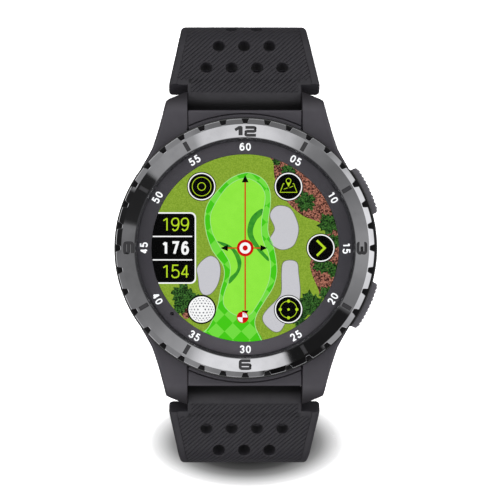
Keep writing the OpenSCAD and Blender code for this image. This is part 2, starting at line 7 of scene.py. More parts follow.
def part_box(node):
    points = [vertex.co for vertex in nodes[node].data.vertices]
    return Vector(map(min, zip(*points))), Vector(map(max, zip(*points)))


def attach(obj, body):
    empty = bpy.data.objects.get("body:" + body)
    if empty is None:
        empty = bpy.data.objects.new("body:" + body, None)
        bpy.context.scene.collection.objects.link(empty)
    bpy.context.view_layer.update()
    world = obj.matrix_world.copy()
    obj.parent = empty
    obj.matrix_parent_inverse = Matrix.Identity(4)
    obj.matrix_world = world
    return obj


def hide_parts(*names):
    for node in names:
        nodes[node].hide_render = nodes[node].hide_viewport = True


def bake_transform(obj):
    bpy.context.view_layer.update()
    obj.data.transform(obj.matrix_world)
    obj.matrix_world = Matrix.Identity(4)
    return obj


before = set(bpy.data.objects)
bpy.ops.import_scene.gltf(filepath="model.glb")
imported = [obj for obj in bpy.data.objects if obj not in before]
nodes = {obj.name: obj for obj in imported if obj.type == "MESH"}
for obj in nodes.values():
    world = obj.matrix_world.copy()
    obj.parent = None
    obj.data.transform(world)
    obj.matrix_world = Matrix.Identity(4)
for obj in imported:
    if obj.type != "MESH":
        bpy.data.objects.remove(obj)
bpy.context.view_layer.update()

MM = 0.001


def low(node, axis):
    """Lowest coordinate of a CAD node along an axis, in millimetres."""
    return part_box(node)[0][axis] / MM


def high(node, axis):
    """Highest coordinate of a CAD node along an axis, in millimetres."""
    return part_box(node)[1][axis] / MM


# ---- Sizes, in millimetres: driving ones come from the frame ----

X, Y, Z = 0, 1, 2
BACK_Z = low("case_back", Z)
CASE_R = high("mid_case", X)
LUG_TIP_Y = high("mid_case", Y)
BEZEL_R = high("bezel", X)
BEZEL_LOW = low("bezel", Z)
BEZEL_TOP = high("bezel", Z)
GLASS_LOW = low("cover_glass", Z)
GLASS_TOP = high("cover_glass", Z)
GLASS_R = high("cover_glass", X)
RING_LOW = low("chapter_ring", Z)
RING_TOP = high("chapter_ring", Z)
RING_R = high("chapter_ring", X)
PANEL_LOW = low("display_panel", Z)
PANEL_TOP = high("display_panel", Z)
PANEL_R = high("display_panel", X)
TRIM_LOW = low("trim_ring", Z)
TRIM_TOP = high("trim_ring", Z)
TRIM_R = high("trim_ring", Y)
GUARD_R = high("trim_ring", X)

VIEW_R = 17.85
FACE_INNER_R = 20.8
FACE_OUTER_R = BEZEL_R - 1.1
FACE_FALL = 0.7
RIM_FALL = 0.85
LEDGE_R = 19.3
TRIM_INNER_R = 23.02
NOTCH_COUNT = 36
NOTCH_DEPTH = 0.9
LUG_GAP_HALF = 11.0
LUG_TOP = BACK_Z + 8.5
PUSHER_ANGLE = 25.5
PUSHER_R = 26.5
GUARD_HALF_ANGLE = 14
SHELF_HALF_ANGLE = 37
SHELF = 0.3

BAR_Y = 28.1
BAR_Z = BACK_Z + 2.2
STRAP_T = 3.0
ROOT_ANGLE = 30
SIDE_ANGLE = 94
STRAP_HALF_W = 11.0
SHOULDER_EXTRA = 3.6
SHOULDER_S = 3.3
TAB_HALF_W = 10.98
KNUCKLE_R = 1.6
HOLE_D = 2.35
HOLE_PITCH = 4.9
FIRST_ROW_S = 7.1
BORDER = 1.6
RIB_PITCH = 0.68
RIB_HEIGHT = 0.2
RIB_SLOPE = 1.0


# ---- Mesh building ----

def arc(centre, radius, start, end, steps):
    """Points of an arc, angles in degrees."""
    angles = [math.radians(start + (end - start) * i / steps) for i in range(steps + 1)]
    return [(centre[0] + radius * math.cos(a), centre[1] + radius * math.sin(a)) for a in angles]


def circle(centre, radius, steps=48):
    """Points of a whole circle."""
    return arc(centre, radius, 0, 360 - 360 / steps, steps - 1)


def rectangle(x0, x1, y0, y1):
    return [(x0, y0), (x1, y0), (x1, y1), (x0, y1)]


def rounded_box(x, y0, y1, radius, steps):
    """Outline of a rectangle from -x to x and y0 to y1, with round corners."""
    corners = ((x - radius, y1 - radius), (radius - x, y1 - radius),
               (radius - x, y0 + radius), (x - radius, y0 + radius))
    return [point for i, corner in enumerate(corners)
            for point in arc(corner, radius, 90 * i, 90 * i + 90, steps)]


def smooth_loop(corners, steps=6):
    """A closed Catmull-Rom curve through given points."""
    points = []
    count = len(corners)
    for i in range(count):
        a, b, c, d = (Vector(corners[(i + k - 1) % count]) for k in range(4))
        for j in range(steps):
            t = j / steps
            points.append(0.5 * (2 * b + (c - a) * t + (2 * a - 5 * b + 4 * c - d) * t * t
                                 + (3 * b - a - 3 * c + d) * t ** 3))
    return [(p.x, p.y) for p in points]


def rounded_path(corners, radius, steps=4):
    """An open path whose inner corners are rounded."""
    points = [Vector(corners[0])]
    for before, here, after in zip(corners, corners[1:], corners[2:]):
        here = Vector(here)
        start = here + (Vector(before) - here).normalized() * radius
        end = here + (Vector(after) - here).normalized() * radius
        for j in range(steps + 1):
            t = j / steps
            points.append(start * (1 - t) ** 2 + here * 2 * t * (1 - t) + end * t * t)
    return points + [Vector(corners[-1])]


def ribbon(path, width, closed=False):
    """Outline or pair of outlines of a band of even width along a path."""
    count = len(path)
    left, right = [], []
    for i, point in enumerate(path):
        before = path[i - 1] if closed or i else point
        after = path[(i + 1) % count] if closed or i < count - 1 else point
        along_in = (Vector(point) - Vector(before)).normalized()
        along_out = (Vector(after) - Vector(point)).normalized()
        along = (along_in + along_out).normalized()
        cosine = max(0.5, along.dot(along_out if along_out.length else along_in))
        side = Vector((-along.y, along.x)) * width / 2 / cosine
        left.append(tuple(Vector(point) + side))
        right.append(tuple(Vector(point) - side))
    return left, right


class Shape:
    """Closed solids, in millimetres, gathered into one mesh."""

    def __init__(self):
        self.points = []
        self.faces = []

    def add(self, points, faces):
        first = len(self.points)
        self.points += [Vector(p) for p in points]
        self.faces += [[first + i for i in face] for face in faces]

    def loft(self, rings, wrap=False):
        """Joins closed rings of points into a solid, capped at both ends or wrapped round."""
        n = len(rings[0])
        total = n * len(rings)
        faces = []
        for i in range(len(rings) - (0 if wrap else 1)):
            for j in range(n):
                a, b = i * n + j, i * n + (j + 1) % n
                faces.append([a, b, (b + n) % total, (a + n) % total])
        if not wrap:
            faces.append(list(range(n - 1, -1, -1)))
            faces.append(list(range(total - n, total)))
        self.add([p for ring in rings for p in ring], faces)

    def prism(self, outline, bottom, top):
        self.loft([[(x, y, z) for x, y in outline] for z in (bottom, top)])

    def band(self, outer, inner, bottom, top):
        """A flat ring between two closed outlines with as many points each."""
        rings = [[(*a, bottom), (*b, bottom), (*b, top), (*a, top)] for a, b in zip(outer, inner)]
        self.loft(rings, wrap=True)

    def ring(self, centre, outer_r, inner_r, bottom, top, steps=48):
        self.band(circle(centre, outer_r, steps), circle(centre, inner_r, steps), bottom, top)

    def stroke(self, path, width, bottom, top, closed=False):
        left, right = ribbon(path, width, closed)
        self.loft([[(*a, bottom), (*b, bottom), (*b, top), (*a, top)] for a, b in zip(left, right)],
                  wrap=closed)

    def lathe(self, profile, columns=192):
        """A ring turned from a closed section of (radius, height)."""
        self.loft([turn([(r, 0, z) for r, z in profile], 360 * i / columns) for i in range(columns)],
                  wrap=True)

    def transform(self, change):
        self.points = [change(p) for p in self.points]
        return self

    def flipped(self, sx, sy):
        """Mirrored by signs across the case's middle planes."""
        return self.transform(lambda p: Vector((sx * p.x, sy * p.y, p.z)))

    def object(self, name):
        mesh = bpy.data.meshes.new(name)
        mesh.from_pydata([p * MM for p in self.points], [], self.faces)
        tidy_mesh(mesh)
        made = bpy.data.objects.new(name, mesh)
        bpy.context.scene.collection.objects.link(made)
        return made


def turn(points, degrees):
    """Points turned about the case's axis."""
    rotation = Matrix.Rotation(math.radians(degrees), 3, "Z")
    return [rotation @ Vector(p) for p in points]


def tidy_mesh(mesh):
    """Merges doubled points, drops zero faces and points normals outwards."""
    work = bmesh.new()
    work.from_mesh(mesh)
    bmesh.ops.remove_doubles(work, verts=work.verts, dist=0.0005 * MM)
    bmesh.ops.dissolve_degenerate(work, edges=work.edges, dist=0.0005 * MM)
    bmesh.ops.recalc_face_normals(work, faces=work.faces)
    work.to_mesh(mesh)
    work.free()


def combine(piece, tool, operation):
    """Boolean of two solids, applied to the first. The second is used up."""
    change = piece.modifiers.new("combine", "BOOLEAN")
    change.object = tool
    change.operation = operation
    change.solver = "EXACT"
    graph = bpy.context.evaluated_depsgraph_get()
    result = bpy.data.meshes.new_from_object(piece.evaluated_get(graph))
    piece.modifiers.clear()
    piece.data = result
    bpy.data.objects.remove(tool)
    return piece


def join(name, parts):
    """One object from several: their meshes become one."""
    work = bmesh.new()
    for part in parts:
        work.from_mesh(part.data)
        bpy.data.objects.remove(part)
    mesh = bpy.data.meshes.new(name)
    work.to_mesh(mesh)
    work.free()
    made = bpy.data.objects.new(name, mesh)
    bpy.context.scene.collection.objects.link(made)
    return made


def finish_piece(piece, body, material, replaces=(), crease=32):
    """Shades a piece, gives it its material and ties it to the frame."""
    mesh = piece.data
    mesh.materials.clear()
    mesh.materials.append(material)
    mesh.polygons.foreach_set("use_smooth", [True] * len(mesh.polygons))
    mesh.set_sharp_from_angle(angle=math.radians(crease))
    mesh.update()
    if body:
        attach(piece, body)
    if replaces:
        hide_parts(*replaces)
    return piece


# ---- Materials ----

def linear(value):
    """A 0 to 255 display value as scene-linear light."""
    v = value / 255
    return v / 12.92 if v <= 0.04045 else ((v + 0.055) / 1.055) ** 2.4


def colour(red, green, blue):
    return (linear(red), linear(green), linear(blue), 1)


class Nodes:
    """A node tree and short ways to fill it."""

    def __init__(self, tree):
        self.tree = tree

    def link(self, source, target):
        if hasattr(source, "is_output"):
            self.tree.links.new(source, target)
        else:
            target.default_value = source

    def new(self, kind, **inputs):
        """A shader node whose inputs are numbers or other nodes' outputs."""
        node = self.tree.nodes.new("ShaderNode" + kind)
        for key, value in inputs.items():
            self.link(value, node.inputs[key.replace("_", " ")])
        return node

    def maths(self, operation, *values):
        node = self.new("Math")
        node.operation = operation
        for value, socket in zip(values, node.inputs):
            self.link(value, socket)
        return node.outputs[0]

    def mix(self, factor, a, b):
        node = self.new("Mix")
        node.data_type = "RGBA"
        for key, value in (("Factor", factor), ("A", a), ("B", b)):
            self.link(value, node.inputs[key])
        return node.outputs["Result"]

    def ramp(self, factor, stops):
        """Colours along a factor: stops are (position, colour)."""
        node = self.new("ValToRGB", Fac=factor)
        elements = node.color_ramp.elements
        while len(elements) < len(stops):
            elements.new(0.5)
        for element, (position, shade) in zip(elements, stops):
            element.position = position
            element.color = shade if hasattr(shade, "__len__") else (shade, shade, shade, 1)
        return node.outputs["Color"]

    def split(self, place):
        """The x, y and z of a place."""
        return self.new("SeparateXYZ", Vector=place).outputs


class Recipe(Nodes):
    """Builds one procedural material. Texture places are in millimetres."""

    def __init__(self, name, roughness=0.5, metallic=0.0, **numbers):
        self.material = bpy.data.materials.new(name)
        self.material.use_nodes = True
        super().__init__(self.material.node_tree)
        self.shader = self.tree.nodes["Principled BSDF"]
        self.feed(Roughness=roughness, Metallic=metallic, **numbers)
        self.place = self.mapped(self.new("TexCoord").outputs["Object"], (1 / MM, 1 / MM, 1 / MM))

    def mapped(self, source, scale, rotation=(0, 0, 0), location=(0, 0, 0)):
        angles = [math.radians(a) for a in rotation]
        return self.new("Mapping", Vector=source, Scale=scale, Rotation=angles,
                        Location=location).outputs[0]

    def noise(self, size, detail=3.0, stretch=(1, 1, 1)):
        """Noise with features of about that many millimetres."""
        return self.new("TexNoise", Scale=1 / size, Detail=detail,
                        Vector=self.mapped(self.place, stretch)).outputs["Fac"]

    def cells(self, size, feature="F1"):
        """Distances in an irregular pattern of cells of about that many millimetres."""
        texture = self.new("TexVoronoi", Scale=1 / size, Vector=self.place)
        texture.feature = feature
        return texture.outputs["Distance"]

    def stained(self, size, low, high, share, tone, stain):
        """A tone with faint cloudy stains in another."""
        self.feed(Base_Color=self.mix(self.ramp(self.noise(size, 4), [(low, 0.0), (high, share)]),
                                      tone, stain))

    def show(self, factor, first, second):
        """Shows a mix of two shaders instead of the plain one."""
        node = self.new("MixShader")
        for source, socket in zip((factor, first.outputs[0], second.outputs[0]), node.inputs):
            self.link(source, socket)
        self.link(node.outputs[0], self.tree.nodes["Material Output"].inputs["Surface"])

    def feed(self, **sources):
        """Links sources to the shader's inputs by name."""
        for key, source in sources.items():
            self.link(source, self.shader.inputs[key.replace("_", " ")])
        return self

    def bump(self, height, depth, strength=1.0):
        """Small relief of the given depth in millimetres."""
        node = self.new("Bump", Strength=strength, Distance=depth * MM, Height=height)
        return self.feed(Normal=node.outputs["Normal"])


def moulded(name, shade, roughness, grain=0.12, depth=0.006, spread=0.12, **numbers):
    """Moulded plastic or rubber: fine grain, faint mottling and uneven sheen."""
    made = Recipe(name, roughness, **numbers)
    fine = made.noise(grain, 2)
    broad = made.noise(6, 4)
    dark = tuple(c * (1 - spread) for c in shade[:3]) + (1,)
    light = tuple(c * (1 + spread) for c in shade[:3]) + (1,)
    made.feed(Base_Color=made.ramp(broad, [(0.35, dark), (0.65, light)]))
    made.feed(Roughness=made.ramp(made.noise(1.5, 4),
                                  [(0.3, roughness * 0.88), (0.7, min(1, roughness * 1.12))]))
    made.bump(fine, depth)
    return made.material


def metal(name, shade, roughness, stretch=(1, 1, 1), size=0.2, depth=0.001, **numbers):
    """Metal with a fine brushed or blasted finish and handling marks."""
    made = Recipe(name, roughness, 1.0, **numbers)
    marks = made.noise(size, 3, stretch)
    broad = made.noise(4, 5)
    dark = tuple(c * 0.9 for c in shade[:3]) + (1,)
    made.feed(Base_Color=made.ramp(broad, [(0.4, dark), (0.6, shade)]))
    made.feed(Roughness=made.ramp(made.noise(2.5, 5), [(0.3, roughness * 0.85), (0.7, roughness * 1.25)]))
    made.bump(marks, depth)
    return made.material


def lit(name, shade, second=None, size=0.5, stops=(0.35, 0.65), checked=False):
    """A lit area of the display: its own light over a dark panel, with a faint pixel grain."""
    made = Recipe(name, 0.35, Specular_IOR_Level=0.0)
    made.feed(Base_Color=made.ramp(made.noise(0.4), [(0, (0.001, 0.001, 0.001, 1)),
                                                     (1, (0.003, 0.003, 0.003, 1))]))
    if second is None:
        second = tuple(c * 0.93 for c in shade[:3]) + (1,)
    if checked:
        turned = made.mapped(made.place, (1, 1, 0), (0, 0, 45), (0.6, 11.75, 0.5))
        source = made.new("TexChecker", Scale=1 / size, Vector=turned).outputs["Fac"]
    else:
        source = made.noise(size, 6)
    made.feed(Emission_Color=made.ramp(source, [(stops[0], shade), (stops[1], second)]),
              Emission_Strength=1.0)
    return made.material


def glass_material():
    """Clear cover glass: a faint mirror over what lies behind it, letting lamps through."""
    made = Recipe("cover_glass_clear")
    made.tree.nodes.remove(made.shader)
    clear = made.new("BsdfTransparent", Color=(0.985, 0.99, 0.99, 1))
    mirror = made.new("BsdfGlossy", Roughness=made.ramp(made.noise(8, 2), [(0.3, 0.01), (0.7, 0.04)]))
    facing = made.new("LayerWeight", Blend=0.5).outputs["Facing"]
    made.show(made.maths("MULTIPLY_ADD", made.maths("POWER", facing, 4.0), 0.5, 0.005), clear, mirror)
    return made.material


def board_material():
    """Solder mask with copper tracks showing through."""
    made = Recipe("solder_mask", 0.35, Coat_Weight=0.3)
    tracks = made.ramp(made.cells(1.1, "DISTANCE_TO_EDGE"), [(0.03, colour(52, 132, 80)),
                                                            (0.06, colour(14, 84, 44))])
    made.feed(Base_Color=made.mix(made.noise(3), tracks, colour(16, 92, 50)))
    made.bump(made.cells(1.1, "DISTANCE_TO_EDGE"), 0.02, 0.4)
    return made.material


def foil_material():
    """The cell's pouch foil, slightly crumpled."""
    made = Recipe("cell_foil", 0.32, 1.0)
    made.feed(Base_Color=made.ramp(made.noise(5, 4), [(0.3, colour(176, 178, 184)),
                                                      (0.7, colour(206, 208, 212))]))
    made.bump(made.noise(2.2, 6), 0.06)
    return made.material


def foam_material():
    made = Recipe("foam_cells", 0.95)
    made.feed(Base_Color=made.ramp(made.cells(0.35), [(0.1, colour(22, 22, 24)),
                                                      (0.5, colour(52, 52, 56))]))
    made.bump(made.cells(0.35), 0.08)
    return made.material


def ring_material():
    """Satin dial ring with a painted soft sheen, which grows towards 6 and a little towards 12 o'clock."""
    made = Recipe("dial_ring_satin_painted_sheen", 0.55)
    upwards = made.maths("MULTIPLY_ADD", made.split(made.place)["Y"], 1 / 42, 0.5)
    # Painted sheen: the ring's colour is lighter near 6 and 12 o'clock and darker across the middle.
    sheen = made.ramp(upwards, [(0.04, colour(84, 79, 86)), (0.2, colour(64, 60, 67)),
                                (0.45, colour(49, 46, 53)), (0.7, colour(54, 51, 57)),
                                (0.95, colour(66, 62, 69))])
    made.stained(2, 0.3, 0.7, 0.08, sheen, colour(40, 38, 42))
    made.bump(made.noise(0.1, 2), 0.003)
    return made.material


def painted_shade_by_distance(name, roughness, reach, stops, stain, share, stain_size, grain, depth):
    """Moulded finish with painted shade: its tone changes with the distance from the 3 to 9 o'clock line.
    """
    made = Recipe(name, roughness)
    outwards = made.maths("MULTIPLY", made.maths("ABSOLUTE", made.split(made.place)["Y"]), 1 / reach)
    # The ramp of stops paints shade into the colour by distance from the 3 to 9 o'clock line.
    made.stained(stain_size, 0.35, 0.65, share, made.ramp(outwards, stops), stain)
    made.feed(Roughness=made.ramp(made.noise(1.5, 4), [(0.3, roughness - 0.06), (0.7, roughness + 0.06)]))
    made.bump(made.noise(grain, 2), depth)
    return made.material


def strap_material():
    """Matte silicone with painted shade: darker where the tab rolls down to its spring bar."""
    # Painted shade: darkest at the case's edge, where the tab rolls down into the gap between the lugs.
    stops = [(0.655, colour(17, 16, 18)), (0.69, colour(19, 18, 20)), (0.712, colour(33, 31, 36)),
             (0.74, colour(40, 38, 44))]
    return painted_shade_by_distance("silicone_strap", 0.62, 40, stops, colour(26, 25, 28), 0.14, 4, 0.07, 0.006)


def case_material():
    """Satin polymer with painted shade: its tone deepens towards the lug tips."""
    # Painted shade: the lug tips, which roll away towards the strap, turn darker.
    stops = [(0.88, colour(61, 58, 65)), (0.97, colour(34, 31, 36))]
    return painted_shade_by_distance("case_polymer_satin", 0.52, 30, stops, colour(42, 40, 45), 0.15, 6, 0.15, 0.004)


MATERIALS = {
    "case": case_material(),
    "trim": moulded("gloss_black_trim", colour(4, 4, 5), 0.2, 0.3, 0.001, Coat_Weight=0.3),
    "bezel": metal("polished_gunmetal", (0.36, 0.36, 0.37, 1), 0.03, (1, 1, 1), 0.35, 0.0003),
    # Dark fill of the hour marks; where it shows as a rim round the paler cores it is painted edge shade.
    "marking": moulded("marking_enamel_and_painted_edge_shade", colour(10, 10, 12), 0.5, 0.1, 0.004),
    "core": moulded("marking_core", colour(36, 35, 39), 0.55, 0.1, 0.004),
    "glass": glass_material(),
    "adhesive": moulded("black_adhesive", colour(40, 38, 44), 0.7),
    "ring": ring_material(),
    # The white print is given a faint glow of its own: painted light.
    "print": moulded("white_print_painted_glow", colour(248, 248, 250), 0.5, 0.1, 0.003, 0.02, Emission_Strength=0.3),
    "sensor": moulded("sensor_black_gloss", colour(10, 10, 13), 0.12, 0.4, 0.0008, Coat_Weight=1.0),
    "frame": moulded("frame_plastic", colour(44, 44, 48), 0.55),
    "polyimide": moulded("polyimide_amber", colour(178, 108, 38), 0.3, 0.5, 0.004, 0.2, Coat_Weight=0.3),
    "board": board_material(),
    "tin": metal("shield_tin", colour(196, 198, 202), 0.38, (1, 6, 1), 0.3, 0.004),
    "chip": moulded("chip_epoxy", colour(24, 24, 26), 0.6, 0.08, 0.004),
    "foil": foil_material(),
    "foam": foam_material(),
    "carrier": moulded("antenna_carrier", colour(196, 156, 70), 0.45, 0.2, 0.004, 0.2),
    "steel": metal("brushed_steel", colour(172, 173, 177), 0.3, (8, 1, 1), 0.15, 0.002),
    "tungsten": metal("sintered_tungsten", colour(112, 110, 106), 0.5, (1, 1, 1), 0.08, 0.008),
    "led": moulded("led_clear_resin", colour(214, 240, 206), 0.15, 0.4, 0.002, 0.1, Coat_Weight=0.8),
    "back": moulded("back_plastic", colour(38, 38, 42), 0.42, 0.12, 0.005),
    "rubber": moulded("seal_rubber", colour(26, 26, 28), 0.75, 0.1, 0.006),
    "gold": metal("contact_gold", colour(220, 184, 106), 0.22, (1, 1, 1), 0.2, 0.002),
    "switch": moulded("switch_plastic", colour(36, 36, 39), 0.5),
    "pusher": moulded("pusher_dark_anodised", colour(100, 98, 104), 0.42, 0.1, 0.004),
    "spring": metal("spring_wire", colour(190, 192, 196), 0.25, (1, 1, 1), 0.1, 0.002),
    "plunger": moulded("plunger_white", colour(224, 222, 214), 0.5),
    "strap": strap_material(),
    "buckle": metal("buckle_black_metal", colour(84, 84, 89), 0.3, (6, 1, 1), 0.15, 0.003),
}

NODE_MATERIALS = {
    "case": ["mid_case"], "trim": ["trim_ring"], "bezel": ["bezel"], "marking": ["bezel_markings"],
    "glass": ["cover_glass"], "adhesive": ["glass_adhesive"], "ring": ["chapter_ring"],
    "sensor": ["light_sensor", "sensor_window"], "frame": ["display_frame", "display_panel"],
    "polyimide": ["display_flex"], "board": ["main_board", "sensor_board"], "tin": ["shield_cans"],
    "chip": ["board_chips"], "foil": ["battery"], "foam": ["battery_pad"], "carrier": ["gps_antenna"],
    "steel": ["vibration_motor_case", "case_back_screws", "upper_stem", "lower_stem", "upper_clip",
              "lower_clip", "long_spring_bar_tube", "short_spring_bar_tube", "long_release_pin",
              "short_release_pin", "buckle_bar"],
    "tungsten": ["vibration_weight"], "led": ["sensor_leds"], "back": ["case_back"],
    "rubber": ["case_back_gasket", "upper_o_ring", "lower_o_ring"], "gold": ["charging_contacts"],
    "switch": ["upper_switch", "lower_switch"], "pusher": ["upper_pusher", "lower_pusher"],
    "spring": ["upper_spring", "lower_spring", "long_release_spring", "short_release_spring"],
    "plunger": ["upper_plunger", "lower_plunger"],
    "strap": ["long_strap_root", "long_strap_tail", "short_strap_root", "short_strap_end",
              "fixed_keeper", "free_keeper"],
    "buckle": ["buckle_frame", "buckle_tang"],
}


def paint_nodes():
    """Gives every CAD node its procedural material."""
    for key, names in NODE_MATERIALS.items():
        for name in names:
            mesh = nodes[name].data
            mesh.materials.clear()
            mesh.materials.append(MATERIALS[key])


# ---- Case ----

def case_body():
    """The turned case middle, open at both ends."""
    shape = Shape()
    flank_r = 5.6
    top_edge = 0.18
    profile = [(19.5, BACK_Z + 1.2), (20.6, BACK_Z + 1.2), (20.6, BACK_Z + 0.3), (22.1, BACK_Z + 0.3),
               (22.4, BACK_Z + 0.42)]
    profile += arc((CASE_R - flank_r, BACK_Z + flank_r), flank_r, -50, 0, 12)
    profile += arc((CASE_R - top_edge, TRIM_LOW - top_edge), top_edge, 0, 90, 4)
    profile += [(23, TRIM_LOW), (23, BEZEL_LOW), (19.5, BEZEL_LOW)]
    shape.lathe(profile, 240)
    return shape.object("case_body")


LUG_PLAN = [(10, 21.6), (14.9, 20.1), (16.9, 18.9), (18.9, 17.8), (20.6, 17.2), (22.8, 16.5),
            (26.2, 15.6), (28.2, 15.12), (28.45, 14.9), (30.0, 11.3)]
LUG_TIP = (24.8, 2.7)
LUG_TIP_R = 5.2
LUG_FLOOR = 0.9


def along(table, value):
    """Straight-line lookup in a short list of (place, value) pairs."""
    for (p0, v0), (p1, v1) in zip(table, table[1:]):
        if value <= p1:
            return v0 + (v1 - v0) * max(0, value - p0) / (p1 - p0)
    return table[-1][1]


def lug_heights(y):
    """Lowest and highest height of a lug above the case back, at a distance from the axis."""
    reach = max(-1, min(1, (y - LUG_TIP[0]) / LUG_TIP_R))
    top = LUG_TOP - BACK_Z if y < 20.5 else LUG_TIP[1] + LUG_TIP_R * math.sqrt(1 - reach * reach)
    if 20.5 <= y < LUG_TIP[0]:
        top = LUG_TOP - BACK_Z - 0.6 * ((y - 20.5) / (LUG_TIP[0] - 20.5)) ** 2
    bottom = LUG_FLOOR - 0.5 * (y - 12) / 15.4
    if y > 27.4:
        bottom = LUG_TIP[1] - (LUG_TIP[1] - 0.4) * math.sqrt(max(0, 1 - ((y - 27.4) / 2.6) ** 2))
    return bottom, max(top, bottom + 0.02)


def lug_ring(y):
    """Closed section of a lug: square-cut inside, rounded at its outer edges."""
    bottom, top = lug_heights(y)
    outer = max(LUG_GAP_HALF + 0.2, along(LUG_PLAN, y))
    half = min((top - bottom) / 2, (outer - LUG_GAP_HALF) / 2)
    round_top = min(0.75, half * 0.98)
    round_low = min(0.9, half * 0.98)
    round_in = min(0.22, half * 0.9)
    points = arc((outer - round_top, top - round_top), round_top, 0, 90, 6)
    points += arc((LUG_GAP_HALF + round_in, top - round_in), round_in, 90, 180, 3)
    points += arc((LUG_GAP_HALF + round_in, bottom + round_in), round_in, 180, 270, 3)
    points += arc((outer - round_low, bottom + round_low), round_low, 270, 360, 6)
    return [(x, y, BACK_Z + z) for x, z in points]


def lug():
    shape = Shape()
    straight = [13 + 1.2 * i for i in range(10)]
    rolled = [LUG_TIP[0] + LUG_TIP_R * math.sin(math.radians(a)) for a in range(6, 88, 6)]
    stations = straight + [y for y in rolled if y > straight[-1] + 0.1] + [LUG_TIP_Y - 0.004]
    shape.loft([lug_ring(y) for y in stations])
    return shape


def panel_between_lugs():
    """The recessed panel between two lugs, with rounded side edges."""
    side = LUG_GAP_HALF - 0.1
    edge = 0.3
    shape = Shape()
    profile = [(22, 1.4), (22, 7.9), (25.9, 7.72)]
    profile += arc((25.95, 7.25), 0.45, 84, 0, 5)
    profile += [(26.4, 3.2), (25.4, 1.4)]
    middle = (24, 4.5)

    def ring(x, shrink):
        return [(x, middle[0] + (y - middle[0]) * (1 - shrink / 2.4),
                 BACK_Z + middle[1] + (z - middle[1]) * (1 - shrink / 3.4)) for y, z in profile]

    turned = [math.radians(a) for a in (0, 22, 45, 67, 90)]
    ends = [(side - edge * (1 - math.cos(a)), edge * (1 - math.sin(a))) for a in turned]
    shape.loft([ring(-x, shrink) for x, shrink in ends]
               + [ring(x, shrink) for x, shrink in reversed(ends)])
    return shape


def sector(profile, half_angle):
    """A solid turned through part of a circle, centred on 12 o'clock."""
    shape = Shape()
    shape.loft([turn([(r, 0, z) for r, z in profile], 90 - half_angle + 2 * half_angle * i / 60)
                for i in range(61)])
    return shape


def raised_arc():
    """The raised band that follows the bezel between two lugs."""
    outer_r, edge = 25.55, 0.2
    profile = [(21.5, BACK_Z + 4), (outer_r - 0.3, BACK_Z + 4)]
    profile += arc((outer_r - edge, LUG_TOP - edge), edge, 0, 90, 4)
    return sector(profile + [(21.5, LUG_TOP)], 25)


def arc_groove():
    """Cutter for the narrow groove along the raised band's outer edge."""
    inner_r, outer_r, floor = 25.5, 25.82, LUG_TOP - 1.12
    return sector([(inner_r, LUG_TOP + 1), (inner_r, floor), (outer_r - 0.1, floor),
                   (outer_r, floor + 0.12), (outer_r, LUG_TOP + 1)], 24.6)


def pusher_frame(side):
    """Turns z-out-of-the-case pusher coordinates into the case's."""
    return (Matrix.Rotation(math.radians(side * PUSHER_ANGLE), 4, "Z")
            @ Matrix.Translation((0, 0, BACK_Z + 5.3)) @ Matrix.Rotation(math.radians(90), 4, "Y"))


def case_shell():
    """Case middle: turned body, lugs and panels, with its bores cut."""
    body = case_body()
    for sx in (1, -1):
        for sy in (1, -1):
            combine(body, lug().flipped(sx, sy).object("lug"), "UNION")
    for sy in (1, -1):
        for part in (panel_between_lugs(), raised_arc()):
            combine(body, part.flipped(1, sy).object("part"), "UNION")
        combine(body, arc_groove().flipped(1, sy).object("groove"), "DIFFERENCE")
        channel = Shape()
        channel.loft([[(x, sy * BAR_Y + y, BAR_Z + z) for y, z in circle((0, 0), KNUCKLE_R + 0.15, 40)]
                      for x in (-LUG_GAP_HALF, LUG_GAP_HALF)])
        combine(body, channel.object("channel"), "DIFFERENCE")
    bore = Shape()
    bore.prism(circle((0, 0), 19.5, 120), BACK_Z + 1.25, BEZEL_LOW + 3)
    combine(body, bore.object("bore"), "DIFFERENCE")
    for side in (1, -1):
        frame_of_pusher = pusher_frame(side)
        pocket = Shape()
        pocket.prism(rectangle(-2.1, 2.1, -4.95, 4.95), 23.0, 28)
        pocket.transform(lambda p: frame_of_pusher @ p)
        combine(body, pocket.object("pocket"), "DIFFERENCE")
    tidy_mesh(body.data)
    body.name = "case_middle"
    return finish_piece(body, "case", MATERIALS["case"], ["mid_case"], 38)


def trim():
    """Gloss black ring under the bezel that swells into a guard between the pushers."""
    shape = Shape()
    columns = 360
    rings = []
    for i in range(columns):
        angle = 360 * i / columns
        off = min(angle, 360 - angle)
        guard = max(0, min(1, (GUARD_HALF_ANGLE - off) / 1.5))
        shelf = max(0, min(1, (SHELF_HALF_ANGLE - off) / 1.5))
        radius = TRIM_R + max(SHELF * shelf, (GUARD_R - TRIM_R) * guard)
        edge = 0.28
        profile = [(TRIM_INNER_R, TRIM_LOW + 0.01), (radius - 0.1, TRIM_LOW + 0.01),
                   (radius, TRIM_LOW + 0.12)]
        profile += arc((radius - edge, TRIM_TOP - edge), edge, 0, 90, 4)
        profile += [(TRIM_INNER_R, TRIM_TOP)]
        rings.append(turn([(r, 0, z) for r, z in profile], angle))
    shape.loft(rings, wrap=True)
    return finish_piece(shape.object("black_trim"), "case", MATERIALS["trim"],
                        ["trim_ring"])


# ---- Bezel ----

# Share of the notch's depth at a distance from its middle
NOTCH_SHAPE = [(0, 1), (0.3, 1), (0.4, 0.96), (0.48, 0.81), (0.56, 0.5), (0.64, 0.2), (0.7, 0.04),
               (0.76, 0)]


def bezel_surface(radius):
    """Height of the bezel's upper surface at a radius: the sloping face, then the steeper rim."""
    if radius <= FACE_OUTER_R:
        return BEZEL_TOP - FACE_FALL * (radius - FACE_INNER_R) / (FACE_OUTER_R - FACE_INNER_R)
    return BEZEL_TOP - FACE_FALL - RIM_FALL * (radius - FACE_OUTER_R) / (BEZEL_R - FACE_OUTER_R)


